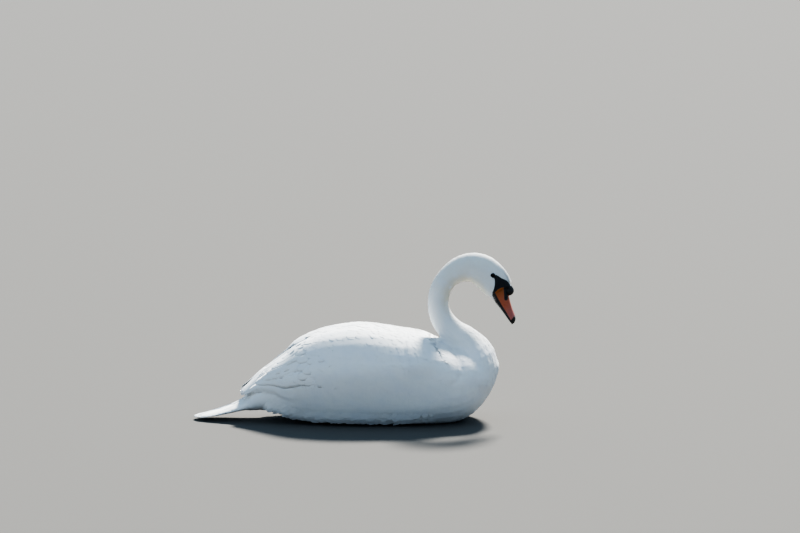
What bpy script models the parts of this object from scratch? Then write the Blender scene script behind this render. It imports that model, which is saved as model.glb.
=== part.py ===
"""A mute swan lying on the ground, life size, as a still museum model.

Metres, +Z up. The bird faces +X, its left is +Y, and it lies on the plane Z = 0.
The origin is on that plane, under the middle of the model's box.

The body and the neck with the head are two lofts, joined into one whole and then parted
with thin cuts. The wings are shells laid over the body. The bill, the knob and the eyes
are set in the head's own frame: +X along the bill, +Z towards the crown.
"""

import math

import bmesh
import bpy
import numpy as np
from mathutils import Matrix, Vector

# ---------- Driving dimensions, in metres and degrees ----------
GAP = 0.0005            # left between pieces that touch
CUT = 0.0006            # width of a cut that parts the whole

BREAST_X = 0.3485       # foremost point of the breast
BREAST_START_X = 0.205  # where the body begins to round off forwards
BREAST_Z = 0.132        # height of that foremost point
BREAST_FULLNESS = 0.52  # rounding of the breast's sides and top
BREAST_TUCK = 0.64      # rounding of its underside, which is drawn up a little
BACK_SQUARENESS = 0.90  # below 1, a section is fuller than an ellipse
SHOULDER_SQUARENESS = 1.02  # the shoulders slope away from the neck
BELLY_SQUARENESS = 0.84
BODY_SIDES = 32         # points round a body section
BODY_STEP = 0.0245      # distance between body sections
BREAST_SECTIONS = 8
TAIL_CUT_X = -0.2400    # where the tail joins the trunk

# The body without its wings, from the tail's tip to the shoulders.
# x, underside, back, half width, height of the widest point
BODY_KEYS = (
    (-0.3880, 0.0040, 0.0080, 0.0080, 0.0058),
    (-0.3720, 0.0055, 0.0125, 0.0260, 0.0085),
    (-0.3350, 0.0120, 0.0215, 0.0440, 0.0160),
    (-0.2950, 0.0205, 0.0360, 0.0510, 0.0260),
    (-0.2600, 0.0265, 0.0570, 0.0560, 0.0390),
    (-0.2350, 0.0270, 0.0900, 0.0630, 0.0540),
    (-0.1900, 0.0190, 0.1360, 0.0830, 0.0690),
    (-0.1300, 0.0020, 0.1820, 0.1130, 0.0860),
    (-0.0600, -0.0090, 0.2080, 0.1350, 0.0950),
    (0.0200, -0.0120, 0.2180, 0.1460, 0.0990),
    (0.1000, -0.0120, 0.2140, 0.1480, 0.0985),
    (0.1600, -0.0110, 0.2040, 0.1460, 0.0980),
    (0.2050, -0.0080, 0.1900, 0.1400, 0.1020),
)

# The neck's and the head's centre line, from inside the breast to the bill's root.
# x, z, half depth, half width
NECK_KEYS = (
    (0.2700, 0.0720, 0.0480, 0.1020),
    (0.2860, 0.1120, 0.0570, 0.1120),
    (0.2910, 0.1530, 0.0500, 0.0860),
    (0.2686, 0.1883, 0.0382, 0.0515),
    (0.2340, 0.2157, 0.0315, 0.0335),
    (0.2090, 0.2485, 0.0278, 0.0275),
    (0.2009, 0.2892, 0.0256, 0.0250),
    (0.2170, 0.3365, 0.0258, 0.0244),
    (0.2530, 0.3645, 0.0318, 0.0252),
    (0.2880, 0.3690, 0.0372, 0.0268),
    (0.3150, 0.3570, 0.0400, 0.0278),
    (0.3290, 0.3425, 0.0394, 0.0272),
    (0.3394, 0.3290, 0.0370, 0.0254),
    (0.3498, 0.3160, 0.0322, 0.0218),
    (0.3566, 0.2999, 0.0236, 0.0188),
)
NECK_SIDES = 20
NECK_SECTIONS = 38
NECK_CUTS = (0.347, 0.462, 0.595, 0.740)  # shares of the centre line's length
CUT_REACH = 0.006       # how far a cut goes beyond the neck's surface

BILL_PITCH = 62.0       # how far the bill points below the horizon
BILL_YAW = -7.0         # the head turns a little to its right
BILL_ROOT = (0.3540, 0.0, 0.2985)
HEAD_TURN_X = 0.3120    # the yaw turns about an upright line through the skull
TURN_START, TURN_END = 0.58, 0.80  # shares of the neck's length between which it turns

# Sections of the closed bill in the head's frame.
# x, culmen, cutting edge, underside, half width
BILL_KEYS = (
    (-0.0180, 0.0255, -0.0095, -0.0215, 0.0192),
    (0.0000, 0.0176, -0.0095, -0.0202, 0.0180),
    (0.0120, 0.0148, -0.0090, -0.0176, 0.0172),
    (0.0260, 0.0116, -0.0080, -0.0150, 0.0165),
    (0.0400, 0.0094, -0.0072, -0.0128, 0.0164),
    (0.0530, 0.0078, -0.0067, -0.0110, 0.0156),
    (0.0620, 0.0052, -0.0072, -0.0096, 0.0124),
    (0.0690, -0.0020, -0.0088, -0.0090, 0.0056),
)
BILL_LOWER_SHARE = 0.84  # the lower mandible's width over the upper's
BILL_LOWER_START, BILL_LOWER_END = 0.0, 0.0645
BILL_SIDES = 10         # points over half a bill section
BILL_SECTIONS = 14
BROW_Z = 0.0262         # the forehead reaches over the bill's root above this height
NAIL_RADIUS = 0.0130    # the nail covers the bill's last stretch

KNOB_CENTRE = (-0.0065, 0.0, 0.0225)
KNOB_RADII = (0.0125, 0.0112, 0.0124)
EYE_RADIUS = 0.0064
EYE_CENTRE = (-0.0580, 0.0216, 0.0095)

WING_FRONT_X, WING_REAR_X = 0.275, -0.320  # the outline trims it further
WING_MIDLINE = 0.0030   # half the gap between the two wings along the back
WING_LOW_ANGLE, WING_TOP_ANGLE = -45.0, 90.0
WING_EDGE = 0.0022      # thickness along the free edges
WING_FULL = 0.0150      # thickness in the middle
WING_TIP_FULL = 0.0060
WING_SWELL_X = (-0.290, -0.130)  # from the tip's thickness to the full one
WING_THIN_ANGLE = (40.0, 80.0)  # and thinner again up over the back
WING_THINNING = 0.45
WING_EDGE_REACH = 0.050  # distance over which the edge swells to the full thickness
WING_REACH_Y = 0.30     # how far the outline's prism runs sideways
CREST_ANGLE = 64.0      # where the tertial feathers pile up beside the back
CREST_SPREAD = 19.0
CREST_HEIGHT = 0.0105
CREST_END_X, CREST_FULL_X = -0.155, -0.1425  # the tertials end bluntly above the rump
CREST_START_X = 0.150

# The bed on which the wings lie behind the hips, where they stand clear of the rump.
# x, back, half width, height of the widest point
WING_BED_KEYS = (
    (-0.2900, 0.0580, 0.0240, 0.0500),
    (-0.2730, 0.0680, 0.0320, 0.0560),
    (-0.2500, 0.0960, 0.0480, 0.0640),
    (-0.2300, 0.1140, 0.0620, 0.0700),
    (-0.1900, 0.1430, 0.0860, 0.0770),
    (-0.1300, 0.1826, 0.1116, 0.0860),
)

# The wing's outline from the side: down its front, back along its lower edge to the tip.
WING_OUTLINE = (
    (0.218, 0.215), (0.232, 0.184), (0.248, 0.158), (0.254, 0.136), (0.240, 0.117),
    (0.190, 0.104), (0.110, 0.093), (0.020, 0.085), (-0.060, 0.080), (-0.110, 0.072),
    (-0.150, 0.066), (-0.175, 0.071), (-0.195, 0.081), (-0.225, 0.083), (-0.250, 0.075),
    (-0.2735, 0.066), (-0.2790, 0.080),
)
WING_OUTLINE_TOP = 0.300

TOE_ROOT = (0.018, 0.054, 0.0)  # the left foot's, where toes and shank meet
SHANK_LENGTH = 0.106
SHANK_RADIUS = 0.0068
SHANK_TURN = 4.0        # the shank runs back and a little outwards
KNUCKLE_RADII = (0.0085, 0.0075, 0.0062)
HOCK_RADII = (0.0100, 0.0080, 0.0068)
TOES = (                # turn from straight ahead, length
    (14.0, 0.100),
    (0.0, 0.112),
    (-15.0, 0.084),
)
TOE_RADIUS, TOE_TIP_RADIUS = 0.0052, 0.0026
TOE_SIDES = 8
WEB_THICKNESS = 0.0018
WEB_REACH = 0.93        # share of each toe that the web covers
WEB_DIP = 0.90          # how far the web's edge draws back between two toes
FOOT_CLEARANCE = 0.0016  # between the foot and the hollow that it lies in
FOOT_HOLLOW = 0.0150    # height of that hollow

PLUMAGE = ((0.86, 0.86, 0.84), 0.75)
BILL_ORANGE = ((0.72, 0.20, 0.07), 0.45)
BARE_BLACK = ((0.02, 0.02, 0.022), 0.45)
EYE_BROWN = ((0.03, 0.018, 0.012), 0.08)
LEG_BLACK = ((0.035, 0.035, 0.038), 0.6)


# ---------- Helpers ----------
def clear_scene():
    for obj in list(bpy.data.objects):
        bpy.data.objects.remove(obj, do_unlink=True)


def through(keys, column, at, bend=False):
    """The value in that column of the keys, on a smooth curve.

    The curve never overshoots a key, unless it is asked to bend freely, as a line in space.
    """
    x = np.array([key[0] for key in keys])
    y = np.array([key[column] for key in keys])
    step, rise = np.diff(x), np.diff(y) / np.diff(x)
    slope = np.zeros(len(x))
    slope[0], slope[-1] = rise[0], rise[-1]
    for i in range(1, len(x) - 1):
        before, after = 2 * step[i] + step[i - 1], step[i] + 2 * step[i - 1]
        if bend:
            slope[i] = (rise[i - 1] * step[i] + rise[i] * step[i - 1]) / (step[i - 1] + step[i])
        elif rise[i - 1] * rise[i] > 0:
            slope[i] = (before + after) / (before / rise[i - 1] + after / rise[i])
    i = int(np.clip(np.searchsorted(x, at) - 1, 0, len(step) - 1))
    t = (float(np.clip(at, x[0], x[-1])) - x[i]) / step[i]
    return (
        (1 + 2 * t) * (1 - t) ** 2 * y[i]
        + t * (1 - t) ** 2 * step[i] * slope[i]
        + t * t * (3 - 2 * t) * y[i + 1]
        + t * t * (t - 1) * step[i] * slope[i + 1]
    )


def smooth(value):
    """Eases from 0 to 1 as value goes from 0 to 1."""
    value = min(max(value, 0.0), 1.0)
    return value * value * (3 - 2 * value)


def power(value, exponent):
    """A power that keeps its sign."""
    return math.copysign(abs(value) ** exponent, value)


def material(name, finish):
    found = bpy.data.materials.get(name)
    if found:
        return found
    colour, roughness = finish
    made = bpy.data.materials.new(name)
    made.use_nodes = True
    shader = made.node_tree.nodes["Principled BSDF"]
    shader.inputs["Base Color"].default_value = (*colour, 1.0)
    shader.inputs["Roughness"].default_value = roughness
    shader.inputs["Metallic"].default_value = 0.0
    return made


def as_object(name, mesh, finish=None):
    obj = bpy.data.objects.new(name, mesh)
    MODEL.objects.link(obj)
    if finish:
        mesh.materials.clear()
        mesh.materials.append(material(*finish))
    return obj


def loft(name, rings, finish=None):
    """A closed solid through rings of as many points each, capped at both ends."""
    count = len(rings[0])
    faces = [tuple(range(count)), tuple(range((len(rings) - 1) * count, len(rings) * count))]
    for i in range(len(rings) - 1):
        for j in range(count):
            a, b = i * count + j, i * count + (j + 1) % count
            faces.append((a, b, b + count, a + count))
    mesh = bpy.data.meshes.new(name)
    mesh.from_pydata([tuple(p) for ring in rings for p in ring], [], faces)
    outwards(mesh)
    return as_object(name, mesh, finish)


def outwards(mesh):
    bm = bmesh.new()
    bm.from_mesh(mesh)
    bmesh.ops.recalc_face_normals(bm, faces=bm.faces)
    bm.to_mesh(mesh)
    bm.free()


def combine(target, other, operation, keep_other=False):
    """Joins or cuts target with another closed solid, which is used up unless it is kept."""
    modifier = target.modifiers.new(operation.title(), "BOOLEAN")
    modifier.operation = operation
    modifier.object = other
    bpy.context.view_layer.update()
    graph = bpy.context.evaluated_depsgraph_get()
    mesh = bpy.data.meshes.new_from_object(target.evaluated_get(graph))
    target.modifiers.clear()
    target.data = mesh
    if not keep_other:
        bpy.data.objects.remove(other, do_unlink=True)
    return target


def placed(obj, matrix):
    """Moves the mesh itself, so that the object stays at the origin."""
    obj.data.transform(matrix)
    return obj


def ellipsoid(name, centre, radii, segments=16, grow=0.0, finish=None):
    bm = bmesh.new()
    bmesh.ops.create_uvsphere(bm, u_segments=segments, v_segments=segments // 2, radius=1.0)
    size = Matrix.Diagonal((*(r + grow for r in radii), 1.0))
    bm.transform(Matrix.Translation(centre) @ size)
    mesh = bpy.data.meshes.new(name)
    bm.to_mesh(mesh)
    bm.free()
    return as_object(name, mesh, finish)


def cone_between(name, start, end, start_radius, end_radius, sides, finish=None):
    """A tapered rod from one point to another."""
    start, end = Vector(start), Vector(end)
    along = end - start
    bm = bmesh.new()
    bmesh.ops.create_cone(
        bm, cap_ends=True, segments=sides, radius1=start_radius, radius2=end_radius,
        depth=along.length,
    )
    turn = Vector((0, 0, 1)).rotation_difference(along).to_matrix().to_4x4()
    bm.transform(Matrix.Translation((start + end) / 2) @ turn)
    mesh = bpy.data.meshes.new(name)
    bm.to_mesh(mesh)
    bm.free()
    return as_object(name, mesh, finish)


def prism(name, outline, low, high):
    """A flat outline of (x, y) points, extruded from one height to another."""
    curve = bpy.data.curves.new(name, "CURVE")
    curve.dimensions, curve.fill_mode = "2D", "BOTH"
    curve.extrude = (high - low) / 2
    spline = curve.splines.new("POLY")
    spline.points.add(len(outline) - 1)
    for point, (x, y) in zip(spline.points, outline):
        point.co = (x, y, 0, 1)
    spline.use_cyclic_u = True
    drawn = as_object(name + "_outline", curve)
    graph = bpy.context.evaluated_depsgraph_get()
    mesh = bpy.data.meshes.new_from_object(drawn.evaluated_get(graph))
    bpy.data.objects.remove(drawn, do_unlink=True)
    mesh.transform(Matrix.Translation((0, 0, (low + high) / 2)))
    bm = bmesh.new()
    bm.from_mesh(mesh)
    bmesh.ops.remove_doubles(bm, verts=bm.verts, dist=1e-5)
    bmesh.ops.recalc_face_normals(bm, faces=bm.faces)
    bm.to_mesh(mesh)
    bm.free()
    return as_object(name, mesh)


# ---------- The body ----------
def body_section(x):
    """Underside, back, half width and widest height of the body at x."""
    low, top, half, mid = (through(BODY_KEYS, c, min(x, BREAST_START_X)) for c in (1, 2, 3, 4))
    if x > BREAST_START_X:
        share = (x - BREAST_START_X) / (BREAST_X - BREAST_START_X)
        left = max(1 - share * share, 0.0)
        full, tuck = left ** BREAST_FULLNESS, left ** BREAST_TUCK
        mid += (BREAST_Z - mid) * smooth(share) ** 2
        low = mid + (low - mid) * tuck
        top = mid + (top - mid) * full
        half *= full
    return low, top, half, mid


def section_point(section, x, angle):
    """A point of a superelliptic section. The angle is 0 at the left side and 90 at the back."""
    low, top, half, mid = section
    across, up = math.cos(math.radians(angle)), math.sin(math.radians(angle))
    slope = (SHOULDER_SQUARENESS - BACK_SQUARENESS) * smooth((x - 0.10) / 0.13)
    squareness = BACK_SQUARENESS + slope if up > 0 else BELLY_SQUARENESS
    reach = top - mid if up > 0 else mid - low
    return Vector((x, half * power(across, squareness), mid + reach * power(up, squareness)))


def body_stations():
    tail = [key[0] for key in BODY_KEYS[:3]]
    count = round((BREAST_START_X - tail[-1]) / BODY_STEP)
    middle = np.linspace(tail[-1], BREAST_START_X, count + 1)[1:]
    turns = np.linspace(0, math.pi / 2, BREAST_SECTIONS + 1)[1:-1]
    breast = [BREAST_START_X + (BREAST_X - BREAST_START_X) * math.sin(turn) for turn in turns]
    nose = BREAST_X - (BREAST_X - breast[-1]) * 0.15
    return sorted([*tail, *middle, CREST_FULL_X, *breast, nose])


def body_loft():
    rings = []
    for x in body_stations():
        section = body_section(x)
        ring = [section_point(section, x, 360 * i / BODY_SIDES) for i in range(BODY_SIDES)]
        rings.append([(p.x, p.y, max(p.z, 0.0)) for p in ring])  # the belly lies flat
    return loft("trunk", rings)


# ---------- The neck and the head ----------
def neck_line():
    """The neck's keys with the distance along it in front, as keys for through()."""
    keys = np.array(NECK_KEYS)
    steps = np.linalg.norm(np.diff(keys[:, :2], axis=0), axis=1)
    distance = np.concatenate([[0], np.cumsum(steps)])
    return [(at, *key) for at, key in zip(distance, NECK_KEYS)]


def neck_frame(line, share):
    """Centre, forward direction and dorsal direction at a share of the neck's length."""
    length = line[-1][0]
    at, step = share * length, 0.002

    def place(distance):
        return Vector((through(line, 1, distance, True), 0, through(line, 2, distance, True)))

    forward = (place(min(at + step, length)) - place(max(at - step, 0.0))).normalized()
    return place(at), forward, Vector((-forward.z, 0, forward.x))


def neck_ring(line, share, grow=0.0):
    at = share * line[-1][0]
    centre, _, dorsal = neck_frame(line, share)
    depth, width = through(line, 3, at) + grow, through(line, 4, at) + grow
    ring = []
    for i in range(NECK_SIDES):
        turn = 2 * math.pi * i / NECK_SIDES
        point = centre + dorsal * (depth * math.cos(turn))
        ring.append(point + Vector((0, width * math.sin(turn), 0)))
    return ring


def head_turn():
    """The head's yaw, about an upright line through the skull."""
    pivot = Vector((HEAD_TURN_X, 0, 0))
    turn = Matrix.Rotation(math.radians(BILL_YAW), 4, "Z")
    return Matrix.Translation(pivot) @ turn @ Matrix.Translation(-pivot)


def head_frame():
    """Carries the head's own frame into the bird's."""
    pitch = Matrix.Rotation(math.radians(BILL_PITCH), 4, "Y")
    return head_turn() @ Matrix.Translation(BILL_ROOT) @ pitch


def turned(point, share):
    """The yaw, which grows smoothly along the last third of the neck."""
    weight = smooth((share - TURN_START) / (TURN_END - TURN_START))
    return point.lerp(head_turn() @ point, weight)


def neck_loft(name="neck", grow=0.0):
    line = neck_line()
    shares = [i / NECK_SECTIONS for i in range(NECK_SECTIONS + 1)]
    rings = [[turned(p, share) for p in neck_ring(line, share, grow)] for share in shares]
    return loft(name, rings)


def cutting_disc(line, share):
    half = CUT / 2 / line[-1][0]
    rings = []
    for at in (share - half, share + half):
        rings.append([turned(p, share) for p in neck_ring(line, at, CUT_REACH)])
    return loft("disc", rings)


def part_whole(whole):
    """Names each loose piece of the parted whole by the stretch that it covers."""
    bpy.ops.object.select_all(action="DESELECT")
    whole.select_set(True)
    bpy.context.view_layer.objects.active = whole
    bpy.ops.mesh.separate(type="LOOSE")
    pieces = list(bpy.context.selected_objects)
    line = neck_line()
    ends = [0.0, *NECK_CUTS, 1.0]
    middles = {"trunk": Vector((0.0, 0.0, 0.10)), "tail": Vector((-0.31, 0.0, 0.025))}
    stretches = ("neck_lower", "neck_middle", "neck_upper", "head")
    for name, low, high in zip(stretches, ends[1:], ends[2:]):
        middles[name] = turned(neck_frame(line, (low + high) / 2)[0], (low + high) / 2)
    found = {}
    for piece in pieces:
        corners = [Vector(corner) for corner in piece.bound_box]
        centre = sum(corners, Vector()) / len(corners)
        name = min(middles, key=lambda n: (middles[n] - centre).length)
        piece.name = name
        piece.data.materials.clear()
        piece.data.materials.append(material("plumage", PLUMAGE))
        found[name] = piece
    return found


# ---------- The bill, the knob and the eyes ----------
def bill_half_ring(x, upper):
    """A section of one mandible, closed along the cutting edge."""
    culmen, edge, under, half = (through(BILL_KEYS, c, x) for c in (1, 2, 3, 4))
    ring = []
    for i in range(BILL_SIDES + 1):
        turn = math.pi * i / BILL_SIDES
        across, rise = math.cos(turn), math.sin(turn)
        if upper:
            ring.append((x, half * power(across, 0.80), edge + (culmen - edge) * rise ** 0.85))
        else:
            width = half * BILL_LOWER_SHARE
            low = edge - GAP
            ring.append((x, width * power(across, 0.70), low + (under - low) * rise ** 0.75))
    return ring


def bill_half(name, upper, start, end, finish):
    shares = [math.sin(0.5 * math.pi * i / BILL_SECTIONS) for i in range(BILL_SECTIONS + 1)]
    rings = [bill_half_ring(start + GAP + (end - start - GAP) * at, upper) for at in shares]
    return loft(name, rings, finish)


def make_bill():
    root, tip = BILL_KEYS[0][0], BILL_KEYS[-1][0]
    upper = bill_half("bill_upper", True, root, tip, ("bill", BILL_ORANGE))
    lower = bill_half(
        "bill_lower", False, BILL_LOWER_START, BILL_LOWER_END, ("bare_skin", BARE_BLACK)
    )
    combine(upper, ellipsoid("cutter", KNOB_CENTRE, KNOB_RADII, grow=GAP), "DIFFERENCE")
    nail = as_object("bill_nail", upper.data.copy(), ("bare_skin", BARE_BLACK))
    for obj, radius, operation in (
        (nail, NAIL_RADIUS - GAP, "INTERSECT"), (upper, NAIL_RADIUS, "DIFFERENCE"),
    ):
        post = cone_between("post", (tip, 0, -0.03), (tip, 0, 0.03), radius, radius, 24)
        combine(obj, post, operation)
    knob = ellipsoid("bill_knob", KNOB_CENTRE, KNOB_RADII, finish=("bare_skin", BARE_BLACK))
    for obj in (upper, lower, nail, knob):
        placed(obj, head_frame())


def eye_centre(side):
    return head_frame() @ Vector((EYE_CENTRE[0], side * EYE_CENTRE[1], EYE_CENTRE[2]))


def make_eyes():
    radii = (EYE_RADIUS,) * 3
    for name, side in (("eye_left", 1), ("eye_right", -1)):
        ellipsoid(name, eye_centre(side), radii, 16, finish=("eye", EYE_BROWN))


def carve_head(head):
    """The sockets of the eyes and of the knob, and the room that the upper mandible takes."""
    for side in (1, -1):
        combine(
            head, ellipsoid("socket", eye_centre(side), (EYE_RADIUS,) * 3, 16, GAP), "DIFFERENCE"
        )
    root = BILL_KEYS[0]
    face = loft("face", [
        [(x, y, z) for y, z in (
            (-0.04, root[2] - GAP), (0.04, root[2] - GAP), (0.04, BROW_Z), (-0.04, BROW_Z),
        )]
        for x in (root[0], 0.02)
    ])
    combine(head, placed(face, head_frame()), "DIFFERENCE")
    knob = placed(ellipsoid("socket", KNOB_CENTRE, KNOB_RADII, grow=GAP), head_frame())
    combine(head, knob, "DIFFERENCE")


# ---------- The wings ----------
def wing_bed_section(x):
    """The surface that the wing lies on: the body, and behind the hips a bed of its own."""
    low, top, half, mid = body_section(x)
    if x < WING_BED_KEYS[-1][0]:
        bed_top, bed_half, bed_mid = (through(WING_BED_KEYS, c, x) for c in (1, 2, 3))
        top, half, mid = max(top, bed_top), max(half, bed_half), max(mid, bed_mid)
    return low, top, half, mid


def outline_points():
    """The wing's side outline, smoothed between its points."""
    points = np.array(WING_OUTLINE)
    steps = np.linalg.norm(np.diff(points, axis=0), axis=1)
    distance = np.concatenate([[0], np.cumsum(steps)])
    keys = [tuple(row) for row in zip(distance, points[:, 0], points[:, 1])]
    places = np.linspace(0, distance[-1], 3 * len(points))
    return np.array([(through(keys, 1, at), through(keys, 2, at)) for at in places])


def distance_inside(outline, x, z):
    """How far a point lies from the wing's free edges, seen from the side."""
    start, along = outline[:-1], np.diff(outline, axis=0)
    point = np.array([x, z])
    share = np.clip(((point - start) * along).sum(1) / (along * along).sum(1), 0, 1)
    return float(np.linalg.norm(start + along * share[:, None] - point, axis=1).min())


def wing_thickness(outline, x, angle, z):
    edge = smooth(distance_inside(outline, x, z) / WING_EDGE_REACH)
    rear = smooth((x - WING_SWELL_X[0]) / (WING_SWELL_X[1] - WING_SWELL_X[0]))
    full = WING_TIP_FULL + (WING_FULL - WING_TIP_FULL) * rear
    over_back = (angle - WING_THIN_ANGLE[0]) / (WING_THIN_ANGLE[1] - WING_THIN_ANGLE[0])
    full -= WING_THINNING * full * smooth(over_back)
    crest = CREST_HEIGHT * math.exp(-(((angle - CREST_ANGLE) / CREST_SPREAD) ** 2))
    crest *= smooth((x - CREST_END_X) / (CREST_FULL_X - CREST_END_X))
    crest *= smooth((CREST_START_X - x) / 0.16)
    return WING_EDGE + (full - WING_EDGE) * edge + crest


def wing_ring(outline, x, side):
    section = wing_bed_section(x)
    step = 360 / BODY_SIDES  # the body's own corners, so that the two lie parallel
    inner, outer = [], []
    for angle in np.arange(WING_LOW_ANGLE, WING_TOP_ANGLE + step / 2, step):
        point = section_point(section, x, angle)
        ahead = section_point(section, x, angle + 1) - section_point(section, x, angle - 1)
        normal = Vector((0, ahead.z, -ahead.y)).normalized()
        thickness = wing_thickness(outline, x, angle, point.z)
        inner.append(point + normal * GAP * 2)
        outer.append(point + normal * (GAP * 2 + thickness))
    return [(p.x, side * p.y, p.z) for p in inner + outer[::-1]]


def make_wing(name, side):
    outline = outline_points()
    stations = [x for x in body_stations() if WING_REAR_X < x < WING_FRONT_X]
    rings = [wing_ring(outline, x, side) for x in stations]
    wing = loft(name, rings, ("plumage", PLUMAGE))
    shape = [tuple(p) for p in outline]
    shape = [(shape[0][0], WING_OUTLINE_TOP), *shape, (shape[-1][0] - 0.01, WING_OUTLINE_TOP)]
    flat = prism("outline", shape, WING_MIDLINE, WING_REACH_Y)
    upright = Matrix(((1, 0, 0, 0), (0, 0, side, 0), (0, 1, 0, 0), (0, 0, 0, 1)))
    placed(flat, upright)
    outwards(flat.data)
    combine(wing, flat, "INTERSECT")
    return combine(wing, neck_loft("cutter", grow=GAP * 2), "DIFFERENCE")


# ---------- The legs, folded under the belly ----------
def foot_plan(side):
    """Where the toes lie, as (root, tips), on the ground."""
    root = Vector((TOE_ROOT[0], side * TOE_ROOT[1], 0))
    tips = []
    for turn, length in TOES:
        angle = math.radians(side * turn)
        tips.append(root + Vector((math.cos(angle), math.sin(angle), 0)) * length)
    return root, tips


def shank_end(side):
    angle = math.radians(180 - side * SHANK_TURN)
    root = Vector((TOE_ROOT[0], side * TOE_ROOT[1], 0))
    return root + Vector((math.cos(angle), math.sin(angle), 0)) * SHANK_LENGTH


def make_foot(name, side):
    root, tips = foot_plan(side)
    lift = Vector((0, 0, TOE_RADIUS))
    tip_lift = Vector((0, 0, TOE_TIP_RADIUS))
    shape = [root]
    for i, tip in enumerate(tips):
        shape.append(root.lerp(tip, WEB_REACH))
        if i + 1 < len(tips):
            shape.append(root.lerp((tip + tips[i + 1]) / 2, WEB_DIP))
    outline = [(p.x, p.y) for p in shape]
    foot = prism(name, outline, 0.0, WEB_THICKNESS)
    foot.data.materials.append(material("leg_skin", LEG_BLACK))
    for tip in tips:
        toe = cone_between(
            "toe", root + lift, tip + tip_lift, TOE_RADIUS, TOE_TIP_RADIUS, TOE_SIDES
        )
        combine(foot, toe, "UNION")
    knuckle = ellipsoid("knuckle", root + lift * 1.2, KNUCKLE_RADII, 12)
    combine(foot, knuckle, "UNION")
    return level(foot)


def make_shank(name, side):
    root, end = foot_plan(side)[0], shank_end(side)
    start = root + (end - root).normalized() * (KNUCKLE_RADII[0] + GAP)
    lift = Vector((0, 0, SHANK_RADIUS))
    shank = cone_between(
        name, start + lift, end + lift, SHANK_RADIUS * 0.85, SHANK_RADIUS, 12,
        ("leg_skin", LEG_BLACK),
    )
    hock = ellipsoid("hock", end + lift, HOCK_RADII, 12)
    return level(combine(shank, hock, "UNION"))


def level(obj):
    """Flattens what would dip below the ground."""
    for vertex in obj.data.vertices:
        vertex.co.z = max(vertex.co.z, 0.0)
    return obj


def foot_hollow(side):
    """The room under the belly that the foot and the shank lie in."""
    root, tips = foot_plan(side)
    end = shank_end(side)
    across = Vector((0, side, 0)) * (TOE_RADIUS + FOOT_CLEARANCE + 0.003)
    ahead = Vector((TOE_TIP_RADIUS + FOOT_CLEARANCE, 0, 0))
    back = Vector((HOCK_RADII[0] + FOOT_CLEARANCE + 0.002, 0, 0))
    outer, middle, inner = tips
    outer_side, inner_side = Vector((0, side * 0.006, 0)), Vector((0, side * -0.006, 0))
    corners = (
        end - back - across, end - back + across, root + across * 1.1, outer + outer_side,
        outer + ahead * 1.5 + outer_side * 0.6, middle + ahead * 1.2,
        inner + ahead * 1.5 + inner_side * 0.6, inner + inner_side, root - across * 1.1,
    )
    return prism("hollow", [(p.x, p.y) for p in corners], -0.01, FOOT_HOLLOW)


# ---------- The whole ----------
def make_swan():
    whole = combine(body_loft(), neck_loft(), "UNION")
    line = neck_line()
    for share in NECK_CUTS:
        combine(whole, cutting_disc(line, share), "DIFFERENCE")
    slab = loft("slab", [
        [(x, y, z) for y, z in ((-0.2, -0.1), (0.2, -0.1), (0.2, 0.3), (-0.2, 0.3))]
        for x in (TAIL_CUT_X - CUT / 2, TAIL_CUT_X + CUT / 2)
    ])
    combine(whole, slab, "DIFFERENCE")
    pieces = part_whole(whole)
    carve_head(pieces["head"])
    for side in (1, -1):
        combine(pieces["trunk"], foot_hollow(side), "DIFFERENCE")
    make_bill()
    make_eyes()
    for word, side in (("left", 1), ("right", -1)):
        make_wing("wing_" + word, side)
        make_shank("leg_" + word, side)
        make_foot("foot_" + word, side)


def finish_shading():
    for obj in MODEL.objects:
        obj.data.shade_smooth()
        obj.data.set_sharp_from_angle(angle=math.radians(45))


clear_scene()
MODEL = bpy.data.collections.new("mute_swan")
bpy.context.scene.collection.children.link(MODEL)
make_swan()
finish_shading()
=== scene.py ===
# %% [markdown]
# # A mute swan lying on the ground
#
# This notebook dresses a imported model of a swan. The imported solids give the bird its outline.
# Here it gets a skin without seams, a coat of single feathers, a horn bill, wet eyes and
# black webbed feet. All lengths are in metres. The bird faces +X and its left side is +Y.

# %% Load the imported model
import math

import bmesh
import bpy
import numpy as np
from mathutils import Matrix, Vector
from mathutils.bvhtree import BVHTree
from mathutils.kdtree import KDTree


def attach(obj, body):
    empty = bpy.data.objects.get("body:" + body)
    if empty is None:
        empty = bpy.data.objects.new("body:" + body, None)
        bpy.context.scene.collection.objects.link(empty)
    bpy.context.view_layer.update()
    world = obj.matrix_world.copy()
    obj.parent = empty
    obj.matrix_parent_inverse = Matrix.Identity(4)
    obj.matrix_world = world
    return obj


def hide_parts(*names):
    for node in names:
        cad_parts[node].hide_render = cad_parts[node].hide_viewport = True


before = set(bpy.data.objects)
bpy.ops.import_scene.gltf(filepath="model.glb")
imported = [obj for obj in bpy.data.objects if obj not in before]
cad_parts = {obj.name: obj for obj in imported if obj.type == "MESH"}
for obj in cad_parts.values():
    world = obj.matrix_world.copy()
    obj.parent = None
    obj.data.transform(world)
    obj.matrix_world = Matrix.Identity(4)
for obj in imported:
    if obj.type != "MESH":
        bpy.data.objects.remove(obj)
bpy.ops.object.select_all(action="DESELECT")
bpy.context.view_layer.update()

# %% [markdown]
# ## Camera
#
# The bird is seen from its right side with a long lens, a little from above. A long lens
# from far away keeps the far wing close behind the near one. The bird lies low and left of
# the middle, so the camera aims at a point ahead of it and above its back.

# %% Set the camera
LENS, SENSOR = 200.0, 36.0  # millimetres
CAMERA_DISTANCE = 10.67
CAMERA_RISE = 8.0  # degrees above the horizon
AIM = Vector((0.1092, 0.0, 0.3720))

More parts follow.
